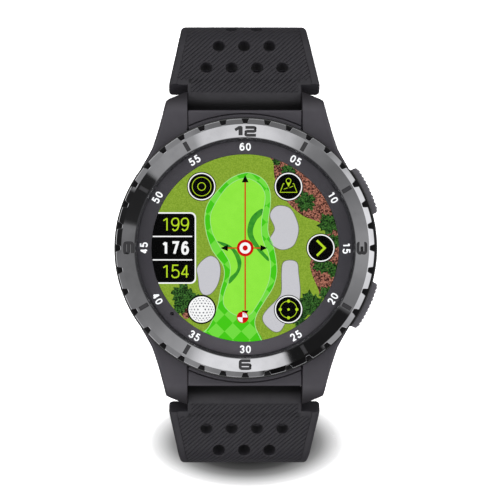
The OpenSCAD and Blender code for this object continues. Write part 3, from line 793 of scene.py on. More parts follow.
def bezel_section(rim):
    """Closed section of the bezel whose rim stands at the given radius."""
    lip, step, wall = 0.1, 0.07, 0.06
    points = [(LEDGE_R, BEZEL_LOW), (rim - 0.05, BEZEL_LOW), (rim, BEZEL_LOW + 0.05),
              (rim, bezel_surface(rim) - wall), (rim - wall * 0.6, bezel_surface(rim - wall))]
    outer, inner = rim - 2 * wall, FACE_OUTER_R + step
    points += [(outer + (inner - outer) * i / 3, bezel_surface(outer + (inner - outer) * i / 3))
               for i in range(4)]
    points += [(FACE_OUTER_R + step * 0.3, bezel_surface(FACE_OUTER_R) - 0.008)]
    outer, inner = FACE_OUTER_R - step, FACE_INNER_R + lip
    points += [(outer + (inner - outer) * i / 5, bezel_surface(outer + (inner - outer) * i / 5))
               for i in range(6)]
    points += [(FACE_INNER_R + lip * 0.3, bezel_surface(FACE_INNER_R) - lip * 0.3),
               (FACE_INNER_R, BEZEL_TOP - lip), (FACE_INNER_R, RING_LOW), (LEDGE_R, RING_LOW)]
    return points


def bezel():
    half_pitch = math.pi * BEZEL_R / NOTCH_COUNT
    notch_half_w = NOTCH_SHAPE[-1][0]
    plain = [notch_half_w + (half_pitch - notch_half_w) * i / 5 for i in range(1, 5)]
    offsets = [u for u, _ in NOTCH_SHAPE] + plain
    offsets = [-u for u in reversed(offsets[1:])] + offsets + [half_pitch]
    rings = []
    for notch in range(NOTCH_COUNT):
        for u in offsets:
            depth = NOTCH_DEPTH * along(NOTCH_SHAPE, abs(u))
            angle = 90 + 360 / NOTCH_COUNT * (notch + u / (2 * half_pitch))
            rings.append(turn([(r, 0, z) for r, z in bezel_section(BEZEL_R - depth)], angle))
    shape = Shape()
    shape.loft(rings, wrap=True)
    return finish_piece(shape.object("toothed_bezel"), "case", MATERIALS["bezel"],
                        ["bezel"], 24)


# Strokes of the bezel's digits in a unit square
DIGIT_PATHS = {
    "1": [[(0.0, 0.66), (0.7, 1.0), (1.0, 1.0), (1.0, 0.0)], [(0.8, 0.85), (0.8, 0.0)]],
    "2": [[(0, 1), (1, 1), (1, 0.5), (0, 0.5), (0, 0), (1.05, 0)]],
    "3": [[(0.04, 0.8), (0.04, 0.93), (0.16, 1), (0.84, 1), (1, 0.86), (1, 0.64), (0.84, 0.5),
           (0.35, 0.5)],
          [(0.35, 0.5), (0.84, 0.5), (1, 0.36), (1, 0.14), (0.84, 0), (0.16, 0), (0.04, 0.07),
           (0.04, 0.2)]],
    "6": [[(1, 1), (0, 1), (0, 0), (1, 0), (1, 0.5), (0.1, 0.5)]],
    "9": [[(0, 0), (1, 0), (1, 1), (0, 1), (0, 0.5), (0.9, 0.5)]],
}


def wide_digit(shape, digit, centre_x, width, height, weight, core):
    """A broad square-built digit, drawn as strokes about the origin."""
    for path in DIGIT_PATHS[digit]:
        points = [(centre_x + (x - 0.5) * (width - weight), (y - 0.5) * (height - weight))
                  for x, y in path]
        radius = 0.08 if digit in "13" else 0.4
        path_points = rounded_path(points, radius) if len(points) > 2 else [Vector(p) for p in points]
        shape.stroke(path_points, core, -0.12, 0.012 if core == weight else 0.02)


def bezel_marks(name, shrink, material):
    """Hour numerals and ticks filled into the bezel's face, or their paler cores. The marks' dark fill is
    their own colour; its thin rim left round each paler core is painted edge shade.
    """
    middle_r = (FACE_INNER_R + FACE_OUTER_R) / 2
    height, weight = 2.06, 0.55
    top = 0.012 if shrink == 0 else 0.02
    shape = Shape()
    marks = [(0, [("1", -1.36, 1.7), ("2", 0.98, 2.45)], 1), (-90, [("3", 0, 2.5)], 1),
             (180, [("6", 0, 2.5)], -1), (90, [("9", 0, 2.5)], 1)]
    for angle, digits, way in marks:
        part = Shape()
        for digit, centre_x, width in digits:
            wide_digit(part, digit, centre_x, width, height, weight, weight - 2 * shrink)
        rotation = Matrix.Rotation(math.radians(angle), 3, "Z")
        part.transform(lambda p: rotation @ Vector((way * p.x, way * p.y + middle_r, p.z)))
        shape.add(part.points, part.faces)
    for hour in (1, 2, 4, 5, 7, 8, 10, 11):
        part = Shape()
        r0, r1, half_w = FACE_INNER_R + 0.5 + shrink, FACE_INNER_R + 2.4 - shrink, 0.4 - shrink
        part.prism(rectangle(-half_w, half_w, r0, r1), -0.12, top)
        part.transform(lambda p: Matrix.Rotation(math.radians(-30 * hour), 3, "Z") @ p)
        shape.add(part.points, part.faces)
    shape.transform(lambda p: Vector((p.x, p.y, p.z + bezel_surface(math.hypot(p.x, p.y)))))
    return finish_piece(shape.object(name), "case", material, ["bezel_markings"])


# ---- Glass, chapter ring and display ----

def cover_glass():
    shape = Shape()
    edge = 0.15
    profile = [(GLASS_R - edge, GLASS_LOW), (GLASS_R, GLASS_LOW + edge), (GLASS_R, GLASS_TOP - edge),
               (GLASS_R - edge, GLASS_TOP)]
    shape.loft([[(r * x, r * y, z) for x, y in circle((0, 0), 1, 128)] for r, z in profile])
    return finish_piece(shape.object("clear_cover_glass"), "case", MATERIALS["glass"],
                        ["cover_glass"])


def open_curve(corners, steps=5):
    """A smooth open curve through given points."""
    first = 2 * Vector(corners[0]) - Vector(corners[1])
    last = 2 * Vector(corners[-1]) - Vector(corners[-2])
    count = len(corners) - 1
    whole = smooth_loop([first] + [Vector(c) for c in corners] + [last], steps)
    return [Vector(p) for p in whole[steps:steps * (count + 1) + 1]]


SIX = [(0.9, 0.86), (0.62, 1.0), (0.22, 0.88), (0.02, 0.52), (0.03, 0.26), (0.18, 0.06), (0.5, 0),
       (0.84, 0.08), (1, 0.31), (0.86, 0.54), (0.52, 0.61), (0.18, 0.54), (0.03, 0.36)]
THREE = [(0.04, 0.78), (0.18, 0.94), (0.5, 1), (0.84, 0.92), (0.94, 0.75), (0.8, 0.58), (0.44, 0.53)]
# Digits in a unit square: each is a list of (is it smooth, points)
DIGITS = {
    "0": [(True, [(0.5, 1), (0.14, 0.86), (0, 0.5), (0.14, 0.14), (0.5, 0), (0.86, 0.14), (1, 0.5),
                  (0.86, 0.86), (0.5, 1)])],
    "1": [(False, [(0.18, 0.8), (0.66, 0.98)]), (False, [(0.68, 1.0), (0.68, 0)])],
    "2": [(True, [(0.04, 0.74), (0.16, 0.93), (0.5, 1.0), (0.86, 0.91), (0.95, 0.7), (0.8, 0.46),
                  (0.42, 0.2), (0.05, 0.0)]), (False, [(0.0, 0.0), (1.0, 0.0)])],
    "3": [(True, THREE), (True, [(x * 1.03, 1 - y) for x, y in THREE])],
    "4": [(False, [(0.72, 0), (0.72, 1)]), (False, [(0.72, 1), (0.0, 0.27)]),
          (False, [(0.0, 0.27), (1.0, 0.27)])],
    "5": [(False, [(0.92, 1), (0.16, 1), (0.1, 0.5)]),
          (True, [(0.1, 0.5), (0.3, 0.6), (0.6, 0.62), (0.92, 0.5), (1, 0.3), (0.88, 0.09), (0.5, 0),
                  (0.16, 0.05), (0.0, 0.22)])],
    "6": [(True, SIX)],
    "7": [(False, [(0, 1), (1, 1), (0.36, 0)])],
    "9": [(True, [(1 - x, 1 - y) for x, y in SIX])],
}


def add_number(shape, text, centre, height, width, bottom, top, weight=0.25, turned=0.0):
    """A number drawn as strokes: height by width about its centre."""
    gap = weight * 0.9
    digit_w = (width - gap * (len(text) - 1)) / len(text)
    rotation = Matrix.Rotation(math.radians(turned), 2)
    for i, digit in enumerate(text):
        left = -width / 2 + i * (digit_w + gap) + weight / 2
        for is_smooth, points in DIGITS[digit]:
            placed = [(left + x * (digit_w - weight), (y - 0.5) * (height - weight)) for x, y in points]
            path = open_curve(placed) if is_smooth else [Vector(p) for p in placed]
            path = [rotation @ Vector(p) + Vector(centre) for p in path]
            shape.stroke(path, weight, bottom, top)


def chapter_ring():
    shape = Shape()
    edge = 0.08
    shape.lathe([(VIEW_R, RING_LOW), (RING_R, RING_LOW), (RING_R, RING_TOP), (VIEW_R + edge, RING_TOP),
                 (VIEW_R, RING_TOP - edge)])
    finish_piece(shape.object("dial_ring"), "case", MATERIALS["ring"], ["chapter_ring"])


def minute_numerals():
    """White minute numerals: tops outwards above, inwards on the lower half."""
    shape = Shape()
    radius = (VIEW_R + RING_R) / 2
    for minute in range(5, 65, 5):
        clockwise = 6 * minute
        upside = 20 <= minute <= 40
        a = math.radians(clockwise)
        centre = (radius * math.sin(a), radius * math.cos(a))
        add_number(shape, f"{minute:02d}", centre, 1.5, 2.15, RING_TOP - 0.02, RING_TOP + 0.02, 0.27,
                   -clockwise + (180 if upside else 0))
    finish_piece(shape.object("minute_numerals"), "case", MATERIALS["print"])


LAYER = 0.02
ART_TOP = PANEL_TOP - LAYER
ART_R = VIEW_R - 0.02


class Screen:
    """Flat shapes of the display's picture, each a little above the last."""

    def __init__(self):
        self.level = 0
        self.shapes = {}

    def next_level(self):
        self.level += 1

    def heights(self):
        return ART_TOP, ART_TOP + LAYER * (1 + self.level)

    def shape(self, key):
        return self.shapes.setdefault(key, Shape())

    def area(self, key, outline):
        """A filled area, kept inside the round display."""
        kept = []
        for x, y in outline:
            scale = ART_R / max(ART_R, math.hypot(x, y))
            kept.append((x * scale, y * scale))
        self.shape(key).prism(kept, *self.heights())

    def disc(self, key, centre, radius):
        self.shape(key).prism(circle(centre, radius), *self.heights())

    def ring(self, key, centre, outer_r, inner_r):
        self.shape(key).ring(centre, outer_r, inner_r, *self.heights())

    def line(self, key, path, width, closed=False):
        self.shape(key).stroke([Vector(p) for p in path], width, *self.heights(), closed=closed)

    def number(self, key, text, centre, height, width, weight):
        add_number(self.shape(key), text, centre, height, width, *self.heights(), weight=weight)


# Outlines of the hole, traced from the photo, from the middle of the display
GREEN_EDGE = [(-0.1, 14.3), (-3.0, 13.1), (-5.6, 10.5), (-7.2, 8.2), (-7.7, 5.6), (-7.4, 2.9), (-6.5, 0.1),
              (-5.6, -1.4), (-4.2, -3.4), (-4.0, -5.5), (-4.7, -8.1), (-5.3, -11.3), (-6.8, -14.8),
              (-8.2, -16.4), (-4.5, -18.5), (0, -18.5), (3.2, -17.8), (1.9, -14.8), (2.2, -12.7),
              (3.7, -10.1), (5.3, -7.5), (6.0, -4.9), (5.9, -2.3), (5.3, 0.6), (4.4, 2.9), (4.4, 5.3),
              (4.8, 8.2), (4.7, 10.8), (3.7, 12.8), (1.9, 14.0)]
GREEN_HEART = [(-0.1, 13.3), (-3.0, 12.0), (-5.3, 9.1), (-6.6, 6.2), (-6.3, 3.2), (-5.2, 0.9), (-3.9, -1.1),
               (-2.9, -3.1), (-3.0, -5.7), (-4.0, -8.7), (-4.1, -10.7), (-3.0, -12.1), (-1.3, -12.9),
               (0.8, -12.7), (2.2, -11.0), (3.7, -8.4), (4.6, -6.0), (4.85, -3.4), (4.4, -0.8), (3.7, 0.6),
               (3.1, 2.9), (3.2, 5.9), (3.7, 8.5), (3.7, 10.5), (2.5, 12.3)]
RIGHT_CRESCENT = [(3.2, 7.5), (1.4, 6.2), (0.5, 4.1), (0.6, 2.1), (1.9, 0.1), (3.2, -1.4), (4.4, -2.5),
                  (4.4, -1.8), (3.4, -0.6), (1.8, 1.8), (1.5, 3.5), (2.2, 5.3), (3.2, 6.4)]
LEFT_CRESCENT = [(-5.3, 1.3), (-3.3, 0.7), (-1.6, -0.6), (-0.8, -2.2), (-0.8, -3.6), (-1.5, -5.2),
                 (-3.0, -6.8), (-3.0, -5.7), (-1.7, -4.4), (-1.5, -2.8), (-2.6, -0.4), (-4.4, 0.5)]
KIDNEY_BUNKER = [(4.7, 6.1), (5.4, 7.6), (6.7, 8.1), (8.5, 7.6), (9.6, 5.9), (10.2, 3.5), (9.5, 0.9),
                 (8.3, -0.1), (6.7, -0.3), (5.1, 0.6), (4.7, 1.8), (5.6, 3.7)]
LEFT_BUNKER = [(-6.6, -1.5), (-5.2, -2.3), (-4.7, -4.3), (-5.2, -6.9), (-6.5, -8.7), (-7.9, -8.9),
               (-8.7, -7.8), (-9.0, -5.5), (-9.2, -3.9), (-8.2, -2.4)]
LONG_BUNKER = [(7.2, -2.8), (8.5, -2.3), (9.9, -2.8), (10.2, -4.9), (10.5, -8.7), (9.8, -11.5),
               (7.7, -14.3), (6.7, -15.8), (5.4, -15.9), (3.8, -14.6), (3.3, -13.3), (4.0, -11.9),
               (6.3, -9.5), (6.9, -8.1), (6.9, -4.9)]
UPPER_MULCH = [(5.2, 19), (5.4, 16), (5.6, 13.4), (6.6, 11.0), (8.0, 8.8), (10.9, 6.2), (14.4, 4.7),
               (15.6, 2.5), (16.2, 0.5), (19, 0), (18, 8), (14, 14), (8, 18)]
LOWER_MULCH = [(12.4, -2.6), (12.7, -4.9), (13.9, -7.8), (14.6, -9.4), (17.5, -8), (18.6, -4), (18, 0),
               (14, -1)]
LEFT_MULCH = [(-12.6, -11.2), (-10.6, -11.4), (-10.4, -13.0), (-11.6, -13.4)]
# Trees as (x, y, radius)
TREES = [(11.5, 8.8, 2.0), (9.6, 11.0, 1.5), (8.2, 14.6, 1.5), (15.9, 4.6, 2.1), (6.0, 16.5, 0.9),
         (16.9, 1.2, 1.5), (14.6, -3.0, 1.9), (16.9, -4.2, 1.5), (12.2, -10.8, 2.6), (15.4, -8.6, 1.4),
         (10.2, -13.6, 1.5), (-11.9, -9.0, 2.3), (-10.0, -10.4, 1.9), (-12.4, -11.4, 1.3)]


def tree_outline(x, y, radius, points=44):
    """A ragged crown: spiky leaf clumps from a few waves around a circle."""
    outline = []
    for i in range(points):
        a = 2 * math.pi * i / points
        reach = radius * (0.84 + 0.1 * math.sin(5 * a + x) + 0.12 * math.sin(11 * a + 2 * y)
                          + 0.1 * (i % 2))
        outline.append((x + reach * math.cos(a), y + reach * math.sin(a)))
    return outline


ICONS = {"rings": (-8.3, 11.7), "map": (8.25, 11.7), "chevron": (14.4, 0), "target": (8.25, -11.7),
         "ball": (-8.3, -11.7)}
ICON_R = 2.78


def course_picture(screen):
    """Rough, mulch, trees, green and bunkers."""
    bunkers = [smooth_loop(outline) for outline in (KIDNEY_BUNKER, LEFT_BUNKER, LONG_BUNKER)]
    screen.area("rough", circle((0, 0), ART_R, 96))
    screen.next_level()
    for outline in (UPPER_MULCH, LOWER_MULCH, LEFT_MULCH):
        screen.area("mulch", smooth_loop(outline))
    screen.next_level()
    for tree in TREES:
        screen.area("tree", tree_outline(*tree))
    screen.next_level()
    for bunker in bunkers:
        screen.area("sand", bunker)
    screen.area("checker", smooth_loop(GREEN_EDGE))
    screen.next_level()
    for bunker in bunkers:
        screen.line("outline", bunker, 0.12, True)
    screen.line("fringe", open_curve(GREEN_EDGE[16:] + GREEN_EDGE[:14]), 0.13)
    screen.area("green", smooth_loop(GREEN_HEART))
    screen.next_level()
    screen.line("fringe", smooth_loop(GREEN_HEART), 0.1, True)
    screen.area("crescent", smooth_loop(RIGHT_CRESCENT))
    screen.area("crescent", smooth_loop(LEFT_CRESCENT))
    screen.next_level()


def aim_lines(screen):
    """Red sight lines with black arrowheads and the ring target."""
    screen.line("red_line", [(0, 13.0), (0, -11.8)], 0.28)
    screen.line("red_line", [(-4.4, 0), (3.8, 0)], 0.24)
    screen.next_level()
    screen.area("black", [(0, 13.9), (-0.65, 12.5), (0.65, 12.5)])
    screen.area("black", [(0, -13.0), (-0.65, -11.9), (0.65, -11.9)])
    screen.area("black", [(-4.7, 0), (-3.3, 0.6), (-3.3, -0.6)])
    screen.area("black", [(4.2, 0), (2.9, 0.6), (2.9, -0.6)])
    flag = (-0.5, -13.2)
    screen.disc("white", flag, 1.08)
    screen.disc("red", (0, 0), 1.6)
    screen.next_level()
    screen.disc("white", (0, 0), 1.08)
    screen.ring("red", flag, 1.12, 0.95)
    for start in (90, 270):
        screen.area("red", [flag] + arc(flag, 1.0, start, start + 90, 8))
    screen.next_level()
    screen.disc("red", (0, 0), 0.5)


def distance_box(screen):
    """Three distances in a black box at the left edge."""
    right, half_h, corner = -9.35, 6.8, 1.0

    def outline(inset):
        r = corner - inset * 0.5
        x, y = right - inset, half_h - inset
        points = [(-20, -y)] + arc((x - r, -y + r), r, -90, 0, 6) + arc((x - r, y - r), r, 0, 90, 6)
        left = [(-20, y - 2 * y * i / 24) for i in range(25)]
        return points + left

    def clipped(points):
        """Keeps the box inside the display by sliding its left edge along the circle."""
        return [(max(x, -math.sqrt(max(0, ART_R ** 2 - y * y))), y) for x, y in points]

    screen.shape("white").prism(clipped(outline(0)), *screen.heights())
    screen.next_level()
    screen.shape("black").prism(clipped(outline(0.26)), *screen.heights())
    screen.next_level()
    for y in (2.2, -2.26):
        screen.line("white", [(-17.6, y), (-10.1, y)], 0.24)
    screen.number("lime", "199", (-13.3, 4.5), 2.6, 5.25, 0.25)
    screen.number("white", "176", (-13.35, 0.0), 2.6, 5.3, 0.47)
    screen.number("lime", "154", (-13.3, -4.45), 2.6, 5.3, 0.25)


def ball_dimples(screen, centre):
    """Dimples of the ball: a hexagonal pattern over a dome, narrower towards its edge."""
    pitch = 0.3
    for row in range(-6, 7):
        for column in range(-6, 7):
            across = (column + 0.5 * (row % 2)) * pitch
            up = row * pitch * 0.87
            angle = math.hypot(across, up)
            if angle < 1e-6 or angle > 1.28:
                continue
            reach = 2.38 * math.sin(angle) / angle
            place = Vector((across * reach, up * reach))
            radial = place.normalized()
            side = Vector((-radial.y, radial.x))
            flat = math.cos(angle)
            outline = [Vector(centre) + place + radial * (0.16 * flat * x) + side * (0.18 * y)
                       for x, y in circle((0, 0), 1, 10)]
            screen.area("dimple", [tuple(p) for p in outline])


def icon_discs(screen):
    for key, centre in ICONS.items():
        screen.disc("black", centre, ICON_R)
    screen.next_level()
    for key, centre in ICONS.items():
        if key == "ball":
            screen.disc("white", centre, 2.5)
        else:
            screen.ring("white", centre, 2.62, 2.4)
    x, y = ICONS["rings"]
    screen.ring("lime", (x, y), 1.84, 1.72)
    screen.ring("lime", (x, y), 0.8, 0.66)
    x, y = ICONS["chevron"]
    screen.line("lime", [(x - 0.75, y + 1.45), (x + 0.75, y), (x - 0.75, y - 1.45)], 0.42)
    x, y = ICONS["target"]
    screen.ring("lime", (x, y), 1.66, 1.54)
    screen.disc("lime", (x, y), 0.24)
    for dx, dy in ((1.58, 0), (-1.58, 0), (0, 1.58), (0, -1.58)):
        screen.disc("lime", (x + dx, y + dy), 0.3)
    x, y = ICONS["map"]
    screen.line("lime", [(x - 1.0, y + 0.55), (x - 1.6, y - 1.1), (x + 1.6, y - 1.1), (x + 1.0, y + 0.55)],
                0.12, True)
    screen.line("lime", [(x - 0.9, y - 0.5), (x - 0.3, y - 0.3), (x + 0.2, y - 0.2), (x + 0.9, y + 0.1)],
                0.11)
    screen.next_level()
    ball_dimples(screen, ICONS["ball"])
    screen.disc("black", (x, y + 0.9), 0.85)
    screen.area("black", [(x - 0.6, y + 0.5), (x + 0.6, y + 0.5), (x, y - 0.5)])
    screen.next_level()
    screen.ring("lime", (x, y + 1.1), 0.52, 0.38)
    screen.area("lime", [(x - 0.42, y + 0.8), (x, y + 0.62), (x + 0.42, y + 0.8), (x, y - 0.1)])


SCREEN_MATERIALS = {
    "rough": lit("screen_rough", colour(122, 154, 42), colour(146, 176, 58), 0.22, (0.38, 0.62)),
    "mulch": lit("screen_mulch", colour(44, 22, 20), colour(182, 118, 98), 0.26, (0.42, 0.6)),
    "tree": lit("screen_tree", colour(6, 22, 8), colour(68, 118, 50), 0.22, (0.42, 0.62)),
    "sand": lit("screen_sand", colour(206, 205, 210), colour(199, 198, 204), 0.2),
    "outline": lit("screen_outline", colour(110, 112, 96)),
    "checker": lit("screen_fringe_turf", colour(70, 202, 22), colour(116, 222, 66), 2.26, (0.4, 0.6),
                   checked=True),
    "green": lit("screen_green", colour(148, 236, 68), colour(143, 232, 64), 1.5),
    "fringe": lit("screen_fringe_line", colour(176, 232, 150)),
    "crescent": lit("screen_crescent", colour(66, 162, 42), colour(46, 138, 42), 0.8),
    "red_line": lit("screen_red_line", colour(206, 74, 24)),
    "black": lit("screen_black", colour(1, 1, 1)),
    "white": lit("screen_white", colour(255, 255, 255), colour(250, 250, 250)),
    "red": lit("screen_red", colour(208, 14, 14)),
    "lime": lit("screen_lime", colour(190, 226, 40)),
    "dimple": lit("screen_dimple", colour(132, 132, 138), colour(112, 112, 118)),
}


def display():
    """The panel with its picture built up in thin lit layers."""
    panel = Shape()
    edge = 0.1
    profile = [(PANEL_R, PANEL_LOW), (PANEL_R, ART_TOP - edge), (PANEL_R - edge, ART_TOP)]
    panel.loft([[(r * x, r * y, z) for x, y in circle((0, 0), 1, 128)] for r, z in profile])
    finish_piece(panel.object("display_body"), "case", MATERIALS["frame"], ["display_panel"])
    screen = Screen()
    course_picture(screen)
    aim_lines(screen)
    distance_box(screen)
    icon_discs(screen)
    for key, shape in screen.shapes.items():
        finish_piece(shape.object(f"screen_{key}"), "case", SCREEN_MATERIALS[key])


# ---- Pushers ----

def pusher(side, name):
    """Pusher cap with fine upright serrations on its outer face."""
    half_l, half_h, floor_u = 4.75, 1.9, 23.9
    pitch, serration, corner, count = 0.78, 0.14, 0.4, 160

    def outline(inset):
        points = [(floor_u, -half_l + inset), (floor_u, half_l - inset)]
        for i in range(count + 1):
            v = (half_l - inset) * (1 - 2 * i / count)
            wave = math.cos(2 * math.pi * v / pitch)
            teeth = serration * max(0, min(1, 2 * wave + 0.6)) if abs(v) < 4.1 else 0
            u = math.sqrt(PUSHER_R ** 2 - v * v) - inset - serration + teeth
            past = max(0, abs(v) - (half_l - inset - corner))
            u -= corner - math.sqrt(max(0, corner ** 2 - past ** 2))
            points.append((u, v))
        return points

    shape = Shape()
    edge = 0.4
    rings = []
    for a in (0, 22.5, 45, 67.5, 90):
        inset = edge * (1 - math.sin(math.radians(a)))
        height = half_h - edge * (1 - math.cos(math.radians(a)))
        rings.append((height, inset))
    levels = sorted({(sign * height, inset) for height, inset in rings for sign in (-1, 1)})
    shape.loft([[(u, v, z) for u, v in outline(inset)] for z, inset in levels])
    rotation = Matrix.Rotation(math.radians(side * PUSHER_ANGLE), 3, "Z")
    shape.transform(lambda p: rotation @ p + Vector((0, 0, BACK_Z + 5.3)))
    label = "upper" if side > 0 else "lower"
    return finish_piece(shape.object(f"{label}_pusher_cap"), f"{label}_button",
                        MATERIALS["pusher"], [name])


# ---- Strap ----

class Half:
    """Route of one strap half, from the flat pattern to its place."""

    def __init__(self, direction, slope_l, bend_r, corner_r, level_l, body, far_body):
        self.direction = direction
        self.slope_l = slope_l
        self.bend_r = bend_r
        self.corner_r = corner_r
        self.body = body
        self.far_body = far_body
        root, side = math.radians(ROOT_ANGLE), math.radians(SIDE_ANGLE)
        self.side_s = slope_l + bend_r * (side - root)
        drop = (BAR_Z - STRAP_T / 2 - slope_l * math.sin(root)
                - bend_r * (math.cos(root) - math.cos(side)) - corner_r * (1 + math.cos(side)))
        self.corner_s = self.side_s + drop / math.sin(side)
        self.level_s = self.corner_s + corner_r * (math.pi - side)
        self.end_s = self.level_s + level_l

    def heading(self, s):
        """Angle of the strap below the horizontal, in radians."""
        root, side = math.radians(ROOT_ANGLE), math.radians(SIDE_ANGLE)
        if s <= self.slope_l:
            return root
        if s <= self.side_s:
            return root + (s - self.slope_l) / self.bend_r
        if s <= self.corner_s:
            return side
        return min(math.pi, side + (s - self.corner_s) / self.corner_r)

    def place(self, x, s, n):
        """Where a point of the flat pattern lies: x across, s along, n out of the outer face."""
        root, side = math.radians(ROOT_ANGLE), math.radians(SIDE_ANGLE)
        a = self.heading(s)
        straight = min(s, self.slope_l)
        bend = min(max(s, self.slope_l), self.side_s)
        b = self.heading(bend)
        y = BAR_Y + straight * math.cos(root) + self.bend_r * (math.sin(b) - math.sin(root))
        z = BAR_Z - straight * math.sin(root) + self.bend_r * (math.cos(b) - math.cos(root))
        down = max(0, min(s, self.corner_s) - self.side_s)
        y += down * math.cos(side)
        z -= down * math.sin(side)
        if s > self.corner_s:
            y += self.corner_r * (math.sin(a) - math.sin(side))
            z += self.corner_r * (math.cos(a) - math.cos(side))
        y -= max(0, s - self.level_s)
        y += n * math.sin(a)
        z += n * math.cos(a)
        return Vector((x, self.direction * y, z))


# Extra half width over the plain strap at a place along it
EXTRA_WIDTH = [(SHOULDER_S, SHOULDER_EXTRA), (14.5, 1.5), (20, 1), (27, 0)]


def half_width(half, s):
    """Half width of the strap at a place along it."""
    width = STRAP_HALF_W + along(EXTRA_WIDTH, s)
    tip_l = 8.7
    past = s - (half.end_s - tip_l - 0.3)
    if half is LONG and past > 0:
        width *= math.sqrt(max(0, 1 - (past / tip_l) ** 2))
    return width


LONG = Half(-1, 11.3, 5.0, 16, 26, "long_strap", "long_tail")
SHORT = Half(1, 12.0, 6.5, 15, 1.5, "short_strap", "short_end")


def strap_section(width, thin=1.0):
    """Closed section: a ribbed bed, smooth crowned borders and rounded inner edges."""
    half_t = STRAP_T / 2
    bed = half_t - RIB_HEIGHT
    crown, fall, inner_r = min(0.8, width * 0.4), 0.7, min(0.6, width * 0.3)
    border = min(BORDER, width * 0.6)
    right = [(width - border, bed), (width - border + 0.18 * border / BORDER, half_t)]
    right += [(width - crown + crown * math.sin(t), half_t - fall + fall * math.cos(t))
              for t in (math.radians(a) for a in range(0, 91, 15))]
    right += [(width - inner_r + inner_r * math.cos(t), -half_t + inner_r - inner_r * math.sin(t))
              for t in (math.radians(a) for a in range(0, 91, 30))]
    left = [(-x, n) for x, n in reversed(right)]
    return [(x, n * thin) for x, n in right + left]


def undercut(s, n):
    """Slants the shoulders' end faces: their inner edges reach further in under the lugs."""
    share = max(0, 1 - (s - SHOULDER_S) / 1.2)
    return s - 0.8 * share * (STRAP_T / 2 - n) / STRAP_T


def strap_slab(half):
    """The flat pattern of a half, from its shoulders to its end."""
    rounding = 0.35
    rings = []
    for a in range(0, 91, 15):
        t = math.radians(a)
        s = SHOULDER_S + rounding * (1 - math.cos(t))
        inset = rounding * (1 - math.sin(t))
        rings.append((s, half_width(half, s) - inset, 1 - 0.25 * inset))
    s = SHOULDER_S + rounding
    last = half.end_s - (0.3 if half is LONG else 0)
    while s < last - 1.1:
        s += 0.8
        rings.append((s, half_width(half, s), 1.0))
    if half is LONG:
        for gap in (0.25, 0.1, 0.03):
            rings.append((last - gap, half_width(half, last - gap), 1 - 0.5 * math.exp(-gap * 6)))
    else:
        rings.append((last, half_width(half, last), 1.0))
    shape = Shape()
    shape.loft([[(x, undercut(s, n), n) for x, n in strap_section(width, thin)]
                for s, width, thin in rings])
    return shape.object("slab")


def strap_tab(half):
    """The narrow end between the lugs, rolled round the spring bar."""
    shape = Shape()
    bed = STRAP_T / 2 - RIB_HEIGHT
    reach = SHOULDER_S + 1.2
    profile = [(reach, -STRAP_T / 2 + 0.05)]
    profile += [(KNUCKLE_R * math.sin(t), KNUCKLE_R * math.cos(t))
                for t in (math.radians(a) for a in range(190, 251, 10))]
    profile += [(-1.25, -0.2), (-1.05, 0.2), (-0.8, 0.55), (-0.5, 0.84), (-0.15, 1.06), (0.3, 1.24),
                (0.9, 1.4), (1.3, STRAP_T / 2 - 0.02), (1.4, bed), (reach, bed)]
    edge = 0.25
    levels = [(-TAB_HALF_W, edge), (-TAB_HALF_W + 0.07, 0.07), (-TAB_HALF_W + edge, 0),
              (TAB_HALF_W - edge, 0), (TAB_HALF_W - 0.07, 0.07), (TAB_HALF_W, edge)]
    shape.loft([[(x, s * (1 - inset / 4), n * (1 - inset / 1.6)) for s, n in profile]
                for x, inset in levels])
    return shape.object("tab")


def rib_limit(half, s):
    """Half width of the ribbed bed at a place along the strap."""
    if s < SHOULDER_S + 1.2:
        return TAB_HALF_W - 0.7
    return half_width(half, s) - BORDER + 0.08


def rib_runs(half, crossing, slope):
    """Stretches of one slanted rib that lie on the bed, as lists of x."""
    start, end = 1.5, half.end_s - (1.5 if half is LONG else 4.6)

    def inside(x):
        s = crossing + slope * x
        return start <= s <= end and abs(x) <= rib_limit(half, s)

    runs, current = [], []
    x = -15.0
    while x <= 15.0:
        if inside(x):
            current.append(x)
        elif current:
            runs.append(current)
            current = []
        x += 0.5
    if current:
        runs.append(current)

    def edge(kept, lost):
        for _ in range(8):
            middle = (kept + lost) / 2
            if inside(middle):
                kept = middle
            else:
                lost = middle
        return kept

    return [[edge(run[0], run[0] - 0.5)] + run + [edge(run[-1], run[-1] + 0.5)] for run in runs]


def strap_ribs(half):
    """Slanted ribs over the whole outer face of a half, in the flat pattern."""
    shape = Shape()
    slope = half.direction * RIB_SLOPE
    stretch = math.hypot(1, slope)
    step = RIB_PITCH * stretch
    bed = STRAP_T / 2 - RIB_HEIGHT
    base, crest = 0.27 * stretch, 0.14 * stretch
    crossing = -15.0 * abs(slope)
    while crossing < half.end_s + 15.0 * abs(slope):
        for run in rib_runs(half, crossing, slope):
            if len(run) < 3:
                continue
            rings = []
            for x in run:
                s = crossing + slope * x
                rings.append([(x, s - base, bed - 0.05), (x, s + base, bed - 0.05),
                              (x, s + crest, STRAP_T / 2), (x, s - crest, STRAP_T / 2)])
            shape.loft(rings)
        crossing += step
    return shape.object("ribs")


def hole_places(half):
    """Places (x, s) of the round perforations, then of the adjusting holes."""
    places = []
    for row in range(4):
        count = 4 - row
        for i in range(count):
            places.append(((i - (count - 1) / 2) * HOLE_PITCH, FIRST_ROW_S + row * HOLE_PITCH))
    if half is LONG:
        places += [(0, half.end_s - t) for t in (9.5, 15.5, 21.5)]
        places += [(0, half.level_s - half.corner_r * math.radians(a)) for a in (8, 29, 50, 71)]
    return places


